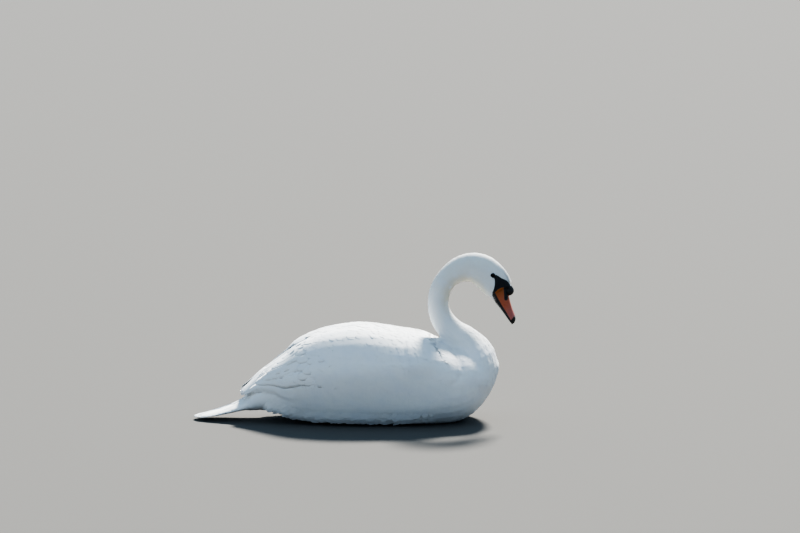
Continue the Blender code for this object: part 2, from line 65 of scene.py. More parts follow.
camera = bpy.data.objects.new("camera", bpy.data.cameras.new("camera"))
bpy.context.collection.objects.link(camera)
camera.data.lens, camera.data.sensor_width = LENS, SENSOR
camera.data.clip_end = 60.0
rise = math.radians(CAMERA_RISE)
camera.location = AIM + Vector((0, -math.cos(rise), math.sin(rise))) * CAMERA_DISTANCE
camera.rotation_euler = (math.pi / 2 - rise, 0, 0)
bpy.context.scene.camera = camera
print("camera at", camera.location)

# %% [markdown]
# ## Floor and light
#
# A white bird needs a floor that is pale but darker than its feathers, or its belly melts
# into it. The main light stands high behind the bird and a little ahead of it, so that the
# back and the crown are brightest and every form turns softly into shade on the near side.
# A blue sky fills that shade.


# %% Lay the floor and hang the lights
FLOOR_SIZE, FLOOR_COLOUR, FLOOR_ROUGHNESS = 60.0, (0.100, 0.097, 0.091), 0.9
SKY_COLOUR, SKY_STRENGTH = (0.50, 0.74, 1.0), 0.62


def plain_colour(name, colour, roughness):
    material = bpy.data.materials.new(name)
    material.use_nodes = True
    shader = material.node_tree.nodes["Principled BSDF"]
    shader.inputs["Base Color"].default_value = (*colour, 1)
    shader.inputs["Roughness"].default_value = roughness
    return material


def soft_sun(name, towards, power, spread, colour):
    """A wide, soft lamp far away, in this direction from the bird."""
    data = bpy.data.lights.new(name, "SUN")
    data.energy, data.angle, data.color = power, math.radians(spread), colour
    lamp = bpy.data.objects.new(name, data)
    bpy.context.collection.objects.link(lamp)
    lamp.rotation_euler = Vector(towards).to_track_quat("Z", "Y").to_euler()
    return lamp


bpy.ops.mesh.primitive_plane_add(size=FLOOR_SIZE)
floor = bpy.context.object
floor.name = "floor"
floor.data.materials.append(plain_colour("floor", FLOOR_COLOUR, FLOOR_ROUGHNESS))

world = bpy.data.worlds.new("studio")
bpy.context.scene.world = world
world.use_nodes = True
sky = world.node_tree.nodes["Background"]
sky.inputs["Color"].default_value = (*SKY_COLOUR, 1)
sky.inputs["Strength"].default_value = SKY_STRENGTH

soft_sun("key", (0.17, 0.67, 0.70), 10.2, 11, (1.0, 0.96, 0.89))
soft_sun("fill", (-0.35, -0.80, 0.50), 0.25, 60, (0.95, 0.97, 1.0))
bpy.context.scene.view_settings.look = "AgX - High Contrast"
print("lamps:", [lamp.name for lamp in bpy.data.lights])

# %% [markdown]
# ## Where things are on the bird
#
# Two measures place much of what follows: the neck's centre line from the breast to the
# bill's root, and the head's own frame, with its X along the bill and its Z towards the
# crown. They repeat the sizes that the solids were built with.

# %% Describe the neck and the head
NECK_LINE = np.array([  # x, z, half depth, half width
    (0.2700, 0.0720, 0.0480, 0.1020),
    (0.2860, 0.1120, 0.0570, 0.1120),
    (0.2910, 0.1530, 0.0500, 0.0860),
    (0.2686, 0.1883, 0.0382, 0.0515),
    (0.2340, 0.2157, 0.0315, 0.0335),
    (0.2090, 0.2485, 0.0278, 0.0275),
    (0.2009, 0.2892, 0.0256, 0.0250),
    (0.2170, 0.3365, 0.0258, 0.0244),
    (0.2530, 0.3645, 0.0318, 0.0252),
    (0.2880, 0.3690, 0.0372, 0.0268),
    (0.3150, 0.3570, 0.0400, 0.0278),
    (0.3290, 0.3425, 0.0394, 0.0272),
    (0.3394, 0.3290, 0.0370, 0.0254),
    (0.3498, 0.3160, 0.0322, 0.0218),
    (0.3566, 0.2999, 0.0236, 0.0188),
])
BILL_PITCH, BILL_YAW = 62.0, -7.0
BILL_ROOT = (0.3540, 0.0, 0.2985)
HEAD_TURN_X = 0.3120
EYE_PLACE = (-0.0580, 0.0216, 0.0095)  # in the head's frame, on the left
EYE_RADIUS = 0.0064
HEAD_MIDDLE = (-0.045, 0.0, 0.0)  # in the head's frame, between the ears
CHEEK = 0.008  # farther than this from the middle plane, a point is on one side of the face

pivot = Matrix.Translation((HEAD_TURN_X, 0, 0))
yaw = pivot @ Matrix.Rotation(math.radians(BILL_YAW), 4, "Z") @ pivot.inverted()
pitch = Matrix.Rotation(math.radians(BILL_PITCH), 4, "Y")
HEAD = yaw @ Matrix.Translation(BILL_ROOT) @ pitch
HEAD_BACK = np.array(HEAD.inverted())


def in_head(points):
    """The points in the head's own frame."""
    return points @ HEAD_BACK[:3, :3].T + HEAD_BACK[:3, 3]


def out_of_head(local):
    """Points of the head's own frame, in the world."""
    turn = np.array(HEAD)
    return local @ turn[:3, :3].T + turn[:3, 3]


def head_distance(points):
    return np.linalg.norm(in_head(points) - HEAD_MIDDLE, axis=1)


def near_head(points, reach):
    """True within a distance of the middle of the head."""
    return head_distance(points) < reach


def eye_reach(local):
    """How far points of the head's frame are from the axis through both eyes."""
    return np.hypot(local[:, 0] - EYE_PLACE[0], local[:, 2] - EYE_PLACE[2])


def ease(value, low, high):
    """0 below low, 1 above high, and smooth between. High may be the lower one."""
    share = np.clip((value - low) / (high - low), 0, 1)
    return share * share * (3 - 2 * share)


class NeckLine:
    """Measures points against the neck's centre line."""

    def __init__(self, keys, pieces=240, block=20000):
        steps = np.linalg.norm(np.diff(keys[:, :2], axis=0), axis=1)
        at = np.concatenate([[0], np.cumsum(steps)])
        self.length = at[-1]
        fine = np.linspace(0, self.length, pieces + 1)
        line = np.stack([np.interp(fine, at, keys[:, i]) for i in (0, 1)], 1)
        for _ in range(30):  # round off the corners at the keys
            line[1:-1] = (line[:-2] + 2 * line[1:-1] + line[2:]) / 4
        self.line, self.block = line, block  # points are measured in blocks, to save memory
        self.share = fine / self.length
        self.half = np.interp(fine, at, keys[:, 2])
        ahead = np.gradient(line, axis=0)
        self.ahead = ahead / np.linalg.norm(ahead, axis=1, keepdims=True)

    def nearest(self, points):
        """The share of the neck's length at which each point lies, and the line's index there."""
        flat = points[:, [0, 2]]
        best = np.empty(len(points), int)
        for start in range(0, len(points), self.block):
            part = flat[start:start + self.block]
            apart = ((part[:, None] - self.line[None]) ** 2).sum(2)
            best[start:start + self.block] = apart.argmin(1)
        return self.share[best], best


neck = NeckLine(NECK_LINE)
print("neck and head, along the middle:", round(neck.length, 3), "m")


def neckness(points):
    """0 on the body and 1 on the neck and head, with the nearest place on the neck's line.

    The line alone isn't enough: the flank lies nearer to the arch than to the neck's base. So
    points that are far from the line, for the neck's thickness there, count as body.
    """
    share, index = neck.nearest(points)
    apart = np.linalg.norm(points[:, [0, 2]] - neck.line[index], axis=1)
    slim = 1 - ease(apart / neck.half[index], 1.3, 1.9)
    return ease(share, 0.14, 0.36) * slim, share, index


# %% [markdown]
# ## Arithmetic for shaders
#
# A finish is a small sum worked out at every point of a surface. Building such sums node by
# node is slow to read, so one class wraps a node's output and lets Python's own signs add
# the Math nodes, and another builds the material around Blender's Principled shader.


# %% A wire that can be added and multiplied
class Wire:
    def __init__(self, finish, socket):
        self.finish, self.socket = finish, socket

    def math(self, operation, *others):
        return self.finish.add("ShaderNodeMath", {"operation": operation},
                               dict(enumerate((self, *others))))

    def __add__(self, other):
        return self.math("ADD", other)

    def __mul__(self, other):
        return self.math("MULTIPLY", other)

    def __sub__(self, other):
        return self.math("SUBTRACT", other)

    def __rsub__(self, other):
        return self.finish.add("ShaderNodeMath", {"operation": "SUBTRACT"}, {0: other, 1: self})

    def __neg__(self):
        return self * -1

    def __pow__(self, other):
        return self.math("POWER", other)

    __radd__, __rmul__ = __add__, __mul__

    def least(self, other):
        return self.math("MINIMUM", other)

    def most(self, other):
        return self.math("MAXIMUM", other)

    def eased(self, low, high):
        """0 below low, 1 above high, and smooth between. High may be the lower one."""
        return self.finish.add(
            "ShaderNodeMapRange", {"interpolation_type": "SMOOTHSTEP"},
            {"Value": self, "From Min": low, "From Max": high},
        )


class Finish:
    """A material built around one Principled shader. Object coordinates are in metres."""

    def __init__(self, name, **fixed):
        self.material = bpy.data.materials.new(name)
        self.material.use_nodes = True
        self.tree = self.material.node_tree
        self.shader = self.tree.nodes["Principled BSDF"]
        for socket, value in fixed.items():
            self.shader.inputs[socket.replace("_", " ")].default_value = value
        self.place = self.add("ShaderNodeTexCoord", {}, {}, "Object")

    def add(self, kind, settings=None, sockets=None, output=0):
        node = self.tree.nodes.new(kind)
        for name, value in (settings or {}).items():
            setattr(node, name, value)
        for name, value in (sockets or {}).items():
            if isinstance(value, Wire):
                self.tree.links.new(value.socket, node.inputs[name])
            else:
                node.inputs[name].default_value = value
        return Wire(self, node.outputs[output])

    def mix(self, share, first, second):
        """A colour between two colours, which are tuples or wires."""
        first, second = (c if isinstance(c, Wire) else (*c, 1) for c in (first, second))
        return self.add("ShaderNodeMix", {"data_type": "RGBA"}, {0: share, 6: first, 7: second}, 2)

    def axes(self, place=None):
        split = self.add("ShaderNodeSeparateXYZ", {}, {0: place or self.place}).socket.node
        return [Wire(self, output) for output in split.outputs]

    def along(self, direction, start=0.0):
        """How far a point lies along a direction."""
        found = self.add("ShaderNodeVectorMath", {"operation": "DOT_PRODUCT"},
                         {0: self.place, 1: tuple(direction)}, "Value")
        return found + start

    def head_axes(self):
        """X and Z in the head's frame."""
        return [self.along(HEAD_BACK[i, :3], float(HEAD_BACK[i, 3])) for i in (0, 2)]

    def noise(self, scale, detail=3.0, stretch=(1, 1, 1)):
        spread = self.add("ShaderNodeMapping", {}, {"Vector": self.place, "Scale": stretch})
        return self.add("ShaderNodeTexNoise", {}, {"Vector": spread, "Scale": scale,
                                                   "Detail": detail})

    def cells(self, scale):
        return self.add("ShaderNodeTexVoronoi", {}, {"Vector": self.place, "Scale": scale},
                        "Distance")

    def profile(self, value, points, low, high):
        """A curve through points (value, height), heights between low and high."""
        start, end = points[0][0], points[-1][0]
        share = (value - start) * (1 / (end - start))
        node = self.tree.nodes.new("ShaderNodeFloatCurve")
        curve = node.mapping.curves[0]
        while len(curve.points) < len(points):
            curve.points.new(0.5, 0.5)
        for spot, (at, height) in zip(curve.points, points):
            spot.location = ((at - start) / (end - start), (height - low) / (high - low))
            spot.handle_type = "VECTOR"
        node.mapping.update()
        self.tree.links.new(share.socket, node.inputs["Value"])
        return Wire(self, node.outputs[0]) * (high - low) + low

    def set(self, **wires):
        for socket, wire in wires.items():
            self.tree.links.new(wire.socket, self.shader.inputs[socket.replace("_", " ")])
        return self

    def bump(self, height, depth, strength=1.0):
        """Bumps of this depth in metres, where height is about 0 to 1."""
        self.set(Normal=self.add("ShaderNodeBump", {}, {
            "Height": height, "Distance": depth, "Strength": strength}, "Normal"))
        return self


# %% [markdown]
# ## Markings
#
# A grown mute swan is white all over, but its head and neck are often stained a faint buff by
# iron in the water, most of all on the inside of the neck's arch. Between the eye and the
# bill the skin is bare and black. Both the skin and the feathers use these same formulas, so
# that no border shows between them.

# %% Where the face is bare
# Both borders of the bare skin run from the eye to the bill, as x and z in the head's frame.
LORES_TOP = [(-0.0556, 0.0165), (-0.0500, 0.0200), (-0.0422, 0.0237), (-0.0370, 0.0276),
             (-0.0317, 0.0308), (-0.0254, 0.0324), (-0.0171, 0.0326), (-0.0060, 0.0326),
             (0.0060, 0.0330)]
LORES_LOW = [(-0.0556, 0.0075), (-0.0493, 0.0090), (-0.0435, 0.0071), (-0.0355, 0.0024),
             (-0.0281, -0.0041), (-0.0213, -0.0122), (-0.0143, -0.0165), (-0.0040, -0.0170),
             (0.0060, -0.0172)]
LID_RADIUS = 0.0058


def bare_face(points, grow=0.0):
    """1 on the bare skin of the face and 0 on feathers. A margin makes it larger."""
    local = in_head(points)
    x, _, z = local.T
    top = np.interp(x, *zip(*LORES_TOP)) - z
    low = z - np.interp(x, *zip(*LORES_LOW))
    lores = np.minimum(np.minimum(top, low), x - LORES_TOP[0][0])
    lid = LID_RADIUS - eye_reach(local)
    return ease(np.maximum(lores, lid) + grow, -0.0003, 0.0003) * near_head(points, 0.10)


def bare_face_nodes(finish):
    """The same, for a shader, with an edge that is a little uneven."""
    x, z = finish.head_axes()
    top = finish.profile(x, LORES_TOP, -0.04, 0.04) - z
    low = z - finish.profile(x, LORES_LOW, -0.04, 0.04)
    lores = top.least(low).least(x - LORES_TOP[0][0])
    across, up = x - EYE_PLACE[0], z - EYE_PLACE[2]
    lid = LID_RADIUS - (across * across + up * up) ** 0.5
    edge = finish.noise(900.0, 2.0) * 0.0012 - 0.0006
    return (lores.most(lid) + edge).eased(-0.0004, 0.0004)


# %% The colour of the plumage
WHITE = (0.860, 0.862, 0.850)
COOL_WHITE = (0.815, 0.832, 0.850)
SHADED_WHITE = (0.700, 0.720, 0.740)  # a few feathers are a little darker than the rest
BUFF = (0.800, 0.735, 0.590)
ARCH_CENTRE = (0.2640, 0.2960)  # x and z of the middle of the neck's arch


def plumage_colour(finish):
    """White, faintly clouded, with the buff stain of the head and neck."""
    x, _, z = finish.axes()
    clouds = finish.noise(26.0, 3.0)
    white = finish.mix(clouds.eased(0.35, 0.75), WHITE, COOL_WHITE)
    across, up = x - ARCH_CENTRE[0], z - ARCH_CENTRE[1]
    reach = (across * across + up * up) ** 0.5
    inside = reach.eased(0.066, 0.040) * z.eased(0.225, 0.280)
    crown = z.eased(0.240, 0.400) * 0.28
    stain = (inside * 0.75 + crown) * finish.noise(60.0, 2.0).eased(0.15, 0.60)
    return finish.mix(stain, white, BUFF)


# %% The colour of the bill
ORANGE_BROWN, SALMON, PINK = (0.330, 0.100, 0.018), (0.470, 0.120, 0.056), (0.470, 0.155, 0.140)
RED_STREAK = (0.380, 0.070, 0.030)
SOOT, WORN_SOOT = (0.010, 0.010, 0.012), (0.024, 0.024, 0.027)
BAND_START, BAND_END, BAND_RADIUS = (-0.0160, 0.0200), (0.0072, 0.0094), 0.0041  # x, z
NOSTRIL = (0.0045, 0.0108)  # x, z
RIDGE_EDGE = [(-0.024, 0.0190), (-0.004, 0.0150), (0.012, 0.0300)]  # x, z
ORANGE_REAR = [(-0.0110, -0.0150), (-0.0055, -0.0191), (0.0027, -0.0224), (0.0121, -0.0227),
               (0.0187, -0.0200), (0.0300, -0.0100)]  # z, x
CUT_EDGE = [(-0.0230, -0.0070), (0.0120, -0.0066), (0.0400, -0.0048), (0.0620, -0.0044),
            (0.0700, -0.0060)]  # x, z


def bill_colour(finish):
    """Black, with the orange sides of the bill, brown at the root and pink at the tip."""
    x, z = finish.head_axes()
    streaks = finish.noise(240.0, 3.0)
    root = finish.mix(x.eased(-0.020, 0.010), ORANGE_BROWN, SALMON)
    orange = finish.mix(x.eased(0.016, 0.056), root, PINK)
    orange = finish.mix(streaks.eased(0.35, 0.75) * 0.35, orange, RED_STREAK)
    wobble = finish.noise(420.0, 2.0) * 0.0016 - 0.0008
    start, end = Vector(BAND_START), Vector(BAND_END)
    along = (end - start).normalized()
    run = (x - start.x) * along.x + (z - start.y) * along.y
    run = run.most(0.0).least((end - start).length)
    apart_x, apart_z = x - start.x - run * along.x, z - start.y - run * along.y
    band = (apart_x * apart_x + apart_z * apart_z) ** 0.5 - BAND_RADIUS
    behind = finish.profile(z, ORANGE_REAR, -0.03, 0.03) - x
    above = z - finish.profile(x, RIDGE_EDGE, -0.04, 0.04)
    below = finish.profile(x, CUT_EDGE, -0.03, 0.03) - z
    tip = x + z * 0.45 - 0.0568
    black = behind.most(above).most(below).most(-band).most(tip)
    black = (black + wobble).eased(-0.0004, 0.0005)
    soot = finish.mix(finish.noise(420.0).eased(0.35, 0.7), SOOT, WORN_SOOT)
    return finish.mix(black, orange, soot)


# %% Make the finishes of bill, skin and feathers
BARB_SLANT, BARB_RATE = 0.32, 620.0


def make_bill_finish():
    finish = Finish("bill_horn", Specular_IOR_Level=0.5)
    finish.set(Base_Color=bill_colour(finish), Roughness=0.36 + finish.noise(600.0) * 0.16)
    grain = finish.noise(900.0, 3.0) * 0.6 + finish.cells(1300.0) * 0.4
    return finish.bump(grain, 0.00025, 0.6).material


def make_skin_finish():
    """Bare black skin on the face, and down under the feathers."""
    finish = Finish("skin_and_down", Specular_IOR_Level=0.35)
    bare = bare_face_nodes(finish)
    finish.set(
        Base_Color=finish.mix(bare, plumage_colour(finish), bill_colour(finish)),
        Roughness=0.85 - bare * (0.32 + finish.noise(700.0) * 0.16),
    )
    grain = finish.cells(1500.0) * bare + finish.noise(1100.0, 3.0, (0.4, 1, 1)) * (1 - bare)
    return finish.bump(grain, 0.0004, 0.7).material


def make_plumage_finish(name, barbs):
    """Feathers: matt, with fine barbs that slant from the shaft where they are long."""
    finish = Finish(name, Roughness=0.72, Specular_IOR_Level=0.25, Sheen_Weight=0.12,
                    Sheen_Roughness=0.5)
    tone = finish.add("ShaderNodeAttribute", {"attribute_name": "tone"}, {}, "Fac")
    finish.set(Base_Color=finish.mix(1.0 - tone, plumage_colour(finish), SHADED_WHITE))
    if barbs:
        flat = finish.add("ShaderNodeUVMap", {"uv_map": "vane"}, {})
        across, along, _ = finish.axes(flat)
        slant = (across - 0.5).math("ABSOLUTE")
        lines = ((along - slant * BARB_SLANT) * BARB_RATE).math("SINE") * 0.5
        shaft = slant.eased(0.05, 0.01)
        finish.bump(lines * 0.2 + shaft * 1.5, 0.0003, 0.4)
    return finish.material


skin_finish, bill_finish = make_skin_finish(), make_bill_finish()
small_plumage = make_plumage_finish("small_plumage", False)
long_plumage = make_plumage_finish("long_plumage", True)
print("finishes:", [finish.name for finish in bpy.data.materials])

# %% [markdown]
# ## Skin
#
# Trunk, neck, head, tail and wings are separate solids, parted by thin cuts. A living bird
# has one skin. The solids are copied into one mesh, swollen a little and remeshed on a grid
# coarser than the cuts, which closes them. Two pads of down fill the hollows between the
# wings and at the root of the tail. The remesh still finds closed hollows inside, so only its
# outer shell is kept. The shell is smoothed, and the face is divided further, because lids
# and bare skin need a finer mesh than a flank.

# %% Tools that change a mesh
def apply_modifier(obj, kind, **settings):
    """Adds a modifier with these settings and applies it."""
    bpy.ops.object.select_all(action="DESELECT")
    obj.select_set(True)
    bpy.context.view_layer.objects.active = obj
    modifier = obj.modifiers.new(kind.title(), kind)
    for name, value in settings.items():
        setattr(modifier, name, value)
    bpy.ops.object.modifier_apply(modifier=modifier.name)
    obj.select_set(False)


def copy_nodes(name, *nodes):
    """A new object that holds copies of these solids, merged where their triangles meet."""
    joined = bmesh.new()
    for node in nodes:
        joined.from_mesh(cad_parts[node].data)
    bmesh.ops.remove_doubles(joined, verts=joined.verts, dist=1e-6)
    mesh = bpy.data.meshes.new(name)
    joined.to_mesh(mesh)
    joined.free()
    obj = bpy.data.objects.new(name, mesh)
    bpy.context.collection.objects.link(obj)
    return obj


def mesh_places(mesh):
    found = np.empty(len(mesh.vertices) * 3)
    mesh.vertices.foreach_get("co", found)
    return found.reshape(-1, 3)


def mesh_normals(mesh):
    found = np.empty(len(mesh.vertices) * 3)
    mesh.vertex_normals.foreach_get("vector", found)
    return found.reshape(-1, 3)


def move_to(mesh, places):
    mesh.vertices.foreach_set("co", places.ravel())
    mesh.update()


def divide_near(obj, near):
    """Divides the faces whose middle is in a region."""
    work = bmesh.new()
    work.from_mesh(obj.data)
    middles = np.array([face.calc_center_median() for face in work.faces])
    chosen = {edge for face, wanted in zip(work.faces, near(middles)) if wanted
              for edge in face.edges}
    bmesh.ops.subdivide_edges(work, edges=list(chosen), cuts=1, use_grid_fill=True)
    work.to_mesh(obj.data)
    work.free()


def keep_outer_shell(obj):
    """Deletes the walls of hollows that the remesh found between the solids."""
    work = bmesh.new()
    work.from_mesh(obj.data)
    left, shells = set(work.faces), []
    while left:
        shell, edge = set(), [left.pop()]
        while edge:
            face = edge.pop()
            shell.add(face)
            near = {other for side in face.edges for other in side.link_faces if other in left}
            left -= near
            edge.extend(near)
        shells.append(shell)
    outer = max(shells, key=len)
    inside = [face for face in work.faces if face not in outer]
    bmesh.ops.delete(work, geom=inside, context="FACES")
    work.to_mesh(obj.data)
    work.free()
    print(len(shells), "shells, the outer one has", len(outer), "faces")


def beside_eye(points):
    """The distance from the axis through both eyes, on the sides of the head alone."""
    local = in_head(points)
    return np.where(np.abs(local[:, 1]) > CHEEK, eye_reach(local), 1.0)


# %% Join the flesh into one mesh
FLESH = ("trunk", "tail", "neck_lower", "neck_middle", "neck_upper", "head",
         "wing_left", "wing_right")
FILLERS = ("eye_left", "eye_right", "bill_upper", "bill_lower", "bill_knob")
SKIN_GRID = 0.0034
SWELL = 0.0008  # comes off again with the coat's depth
WING_SLIT = 0.0036  # half of the gap over the back, and some more
WING_TIP_UNDERSIDE, WING_TIP_PAD = 0.058, 0.0030  # the tips alone are too thin for the grid
DOWN = (((-0.222, 0.0, 0.0600), (0.046, 0.048, 0.0200)),
        ((0.0, 0.0, 0.1080), (0.180, 0.118, 0.0800)))  # the middle and half axes of each pad


def swelling(points):
    return SWELL * (1 - neckness(points)[0]) * ~near_head(points, 0.120)


skin = copy_nodes("skin", *FLESH, *FILLERS)
places = mesh_places(skin.data)
places += mesh_normals(skin.data) * swelling(places)[:, None]
between_wings = (np.abs(places[:, 1]) < WING_SLIT) & (places[:, 0] < 0.25)
places[between_wings, 1] = 0.0  # the wings meet over the back, and the slit closes
under = (mesh_normals(skin.data)[:, 2] < -0.2) & (places[:, 2] > WING_TIP_UNDERSIDE)
places[:, 2] -= WING_TIP_PAD * under * ease(places[:, 0], -0.225, -0.245)
move_to(skin.data, places)
work = bmesh.new()
work.from_mesh(skin.data)
for centre, radii in DOWN:
    pad = Matrix.LocRotScale(Vector(centre), None, Vector(radii))
    bmesh.ops.create_icosphere(work, subdivisions=4, radius=1.0, matrix=pad)
work.to_mesh(skin.data)
work.free()
apply_modifier(skin, "REMESH", mode="VOXEL", voxel_size=SKIN_GRID, adaptivity=0.0)
keep_outer_shell(skin)
apply_modifier(skin, "SMOOTH", factor=0.5, iterations=4)
divide_near(skin, lambda points: near_head(points, 0.062))
apply_modifier(skin, "SMOOTH", factor=0.5, iterations=2)
divide_near(skin, lambda points: bare_face(points, 0.0030) > 0.5)
divide_near(skin, lambda points: beside_eye(points) < 0.0100)
print("skin", sum(len(face.vertices) - 2 for face in skin.data.polygons), "triangles")

# %% [markdown]
# The cuts are closed now, so where the wings lie has to be known by measure. Along each wing
# two heights are kept: that of its lower edge, and that of the axis that it bends round. The
# angle about this axis tells how far up the wing a point is.

# %% Where the folded wings lie
WING_EDGE_LINE = np.array([  # x, z of the folded wing's lower edge
    (0.2540, 0.1360), (0.2400, 0.1170), (0.1900, 0.1040), (0.1100, 0.0930), (0.0200, 0.0850),
    (-0.0600, 0.0800), (-0.1100, 0.0720), (-0.1500, 0.0660), (-0.1750, 0.0710),
    (-0.1950, 0.0810), (-0.2250, 0.0830), (-0.2500, 0.0750), (-0.2735, 0.0660),
])[::-1]


def wing_heights(x):
    """The heights of the wing's lower edge and of the axis that it bends round."""
    axis = np.interp(x, [-0.29, -0.24, -0.15, 0.20], [0.045, 0.055, 0.090, 0.100])
    return np.interp(x, *WING_EDGE_LINE.T), axis


def wing_share(points):
    """0 at the wing's lower edge and 1 on the middle of the back, and below 0 under the wing."""
    x, y, z = points.T
    low, axis = wing_heights(x)
    reach = np.hypot(y, z - axis)
    low_angle = np.arcsin(np.clip((low - axis) / np.maximum(reach, 0.02), -1, 1))
    angle = np.arctan2(z - axis, np.abs(y))
    return (angle - low_angle) / np.maximum(math.pi / 2 - low_angle, 0.05)


print("lower edge and axis at the wing's middle:", wing_heights(0.0))

# %% [markdown]
# The solids reach to the feathers' tips, so the skin is pulled in by the depth of the coat:
# about a millimetre on the face, more on the neck and most on the body. The thin wing tips
# and tail give up no more than a third of their thickness, so they stay whole. Bare skin
# keeps its place. The folds of the plumage are shaped in the skin too, and the feathers
# follow them later: a crease between the neck's base and the wing, and a step from the
# shoulder down to the scapulars.

# %% Smooth the flank over the wing's lower edge
def relax(obj, places, share, rounds):
    """Smooths places along the mesh's edges where the share is above 0."""
    size = len(places)
    ends = np.empty(len(obj.data.edges) * 2, int)
    obj.data.edges.foreach_get("vertices", ends)
    ends = ends.reshape(-1, 2)
    one, two = ends[share[ends].max(1) > 0].T
    count = np.bincount(one, minlength=size) + np.bincount(two, minlength=size)
    count = np.maximum(count, 1)
    for _ in range(rounds):
        for axis in range(3):
            own = places[:, axis]
            total = np.bincount(one, own[two], size) + np.bincount(two, own[one], size)
            own += (total / count - own) * 0.6 * share
    return places


def distance_to_line(points, line):
    """The distance in the side view from a line of points (x, z)."""
    flat, line = points[:, [0, 2]], np.array(line)
    nearest = np.full(len(points), 1.0)
    for start, end in zip(line, line[1:]):
        along = end - start
        share = np.clip((flat - start) @ along / (along @ along), 0, 1)
        apart = np.linalg.norm(start + share[:, None] * along - flat, axis=1)
        nearest = np.minimum(nearest, apart)
    return nearest


# The flank's plumage hides the front half of the wing's lower edge.
HIDDEN_EDGE = [(0.200, 0.1050), (0.110, 0.0930), (0.020, 0.0850), (-0.060, 0.0800),
               (-0.150, 0.0660)]
places = mesh_places(skin.data)
x = places[:, 0]
share = ease(distance_to_line(places, HIDDEN_EDGE), 0.062, 0.020) * ease(x, -0.150, -0.080)
share *= ease(np.abs(places[:, 1]), 0.030, 0.050) * ease(x, 0.235, 0.190)
move_to(skin.data, relax(skin, places, share, 200))
print("smoothed over", int((share > 0).sum()), "points of the flank")

# %% Pull the skin in by the depth of the coat
BODY_COAT, NECK_COAT, FACE_COAT = 0.0045, 0.0024, 0.0011
BILL_ROOT_HEIGHTS, BILL_ROOT_REACH = [-0.0130, -0.0105, 0.0262, 0.0275], 0.118
SUNK_DEPTH, RIM_HEIGHT = 0.0014, 0.0008  # under the bill's pieces, and in front of them
SHOULDER_HEIGHT, SLIPPED_DEPTH = 0.0034, 0.0016
CREASES = (  # points (x, z) seen from the side, depth, half width
    ([(0.212, 0.208), (0.226, 0.192), (0.240, 0.170), (0.250, 0.148), (0.252, 0.128)],
     0.0032, 0.0105),
)


def coat_depth(points):
    on_neck, share, _ = neckness(points)
    on_neck = np.maximum(on_neck, ease(head_distance(points), 0.110, 0.085))
    depth = BODY_COAT - 0.0016 * ease(points[:, 0], 0.20, 0.28)  # thinner on the breast
    depth -= 0.0024 * ease(points[:, 0], -0.222, -0.242)  # and on the tail
    depth += (NECK_COAT - depth) * on_neck
    return depth - (NECK_COAT - FACE_COAT) * ease(share, 0.76, 0.92) * on_neck


def room_inside(obj, points, normals):
    """The thickness of the body behind each point."""
    faces = [tuple(face.vertices) for face in obj.data.polygons]
    tree = BVHTree.FromPolygons(points.tolist(), faces)
    found = np.full(len(points), 1.0)
    for i, (point, inward) in enumerate(zip(points - normals * 1e-4, -normals)):
        hit = tree.ray_cast(Vector(point), Vector(inward))
        if hit[0] is not None:
            found[i] = hit[3]
    return found


def past_bill_root(points, soft=0.003):
    """0 on the head and 1 where the bill's own pieces cover the skin."""
    x, _, z = in_head(points).T
    root = np.interp(z, BILL_ROOT_HEIGHTS, [0.0015, -0.0187, -0.0187, -0.0100])
    return ease(x - root, 0.0, soft) * near_head(points, BILL_ROOT_REACH)


places, normals = mesh_places(skin.data), mesh_normals(skin.data)
depth = coat_depth(places)
room = room_inside(skin, places, normals) / 3
depth -= np.maximum(depth - room, 0) * ease(places[:, 0], -0.170, -0.205)
swollen = swelling(places)
depth *= 1 - 0.8 * bare_face(places)
sunk = past_bill_root(places)
x, _, z = in_head(places).T
rim = ease(x, -0.0260, -0.0195) * near_head(places, BILL_ROOT_REACH)
rim *= (z > BILL_ROOT_HEIGHTS[1]) & (z < BILL_ROOT_HEIGHTS[2])
pressed = depth * (1 - sunk) + SUNK_DEPTH * sunk - RIM_HEIGHT * rim * (1 - sunk)
print("the coat is", depth.min().round(4), "to", depth.max().round(4), "m deep")

# %% Press the folds
for line, deep, half_width in CREASES:
    side = ease(np.abs(places[:, 1]), 0.012, 0.035)
    pressed += side * deep * np.exp(-(distance_to_line(places, line) / half_width) ** 2)
# The shoulder stands out in front of the flatter scapulars and drops to them in a step.
x, y, z = places.T
shoulder = ease(x, 0.118, 0.131) * ease(x, 0.215, 0.165) * ease(np.abs(y), 0.030, 0.055)
pressed -= SHOULDER_HEIGHT * shoulder * ease(z, 0.120, 0.165) * ease(z, 0.225, 0.200)
# On the right the innermost feathers have slipped, and the left wing's stand over them.
slipped = ease(x, -0.225, -0.190) * ease(x, -0.060, -0.120) * ease(y, 0.004, -0.003)
pressed += SLIPPED_DEPTH * slipped * ease(wing_share(places), 0.45, 0.80)
places -= normals * (pressed + swollen)[:, None]
print("folds press the skin in by up to", (pressed - depth).max().round(4), "m")

# %% [markdown]
# The lids are raised from the skin itself. Inside their opening the skin drops behind the
# eyeball, round it stands a thin rim that clasps the ball, and outside the rim it swells a
# little and runs out into the face.

# %% Raise the lids and finish the skin
LID_OPENING, LID_HEIGHT, LID_EDGE, LID_FOOT = 0.0041, 0.0007, 0.0060, 0.0085

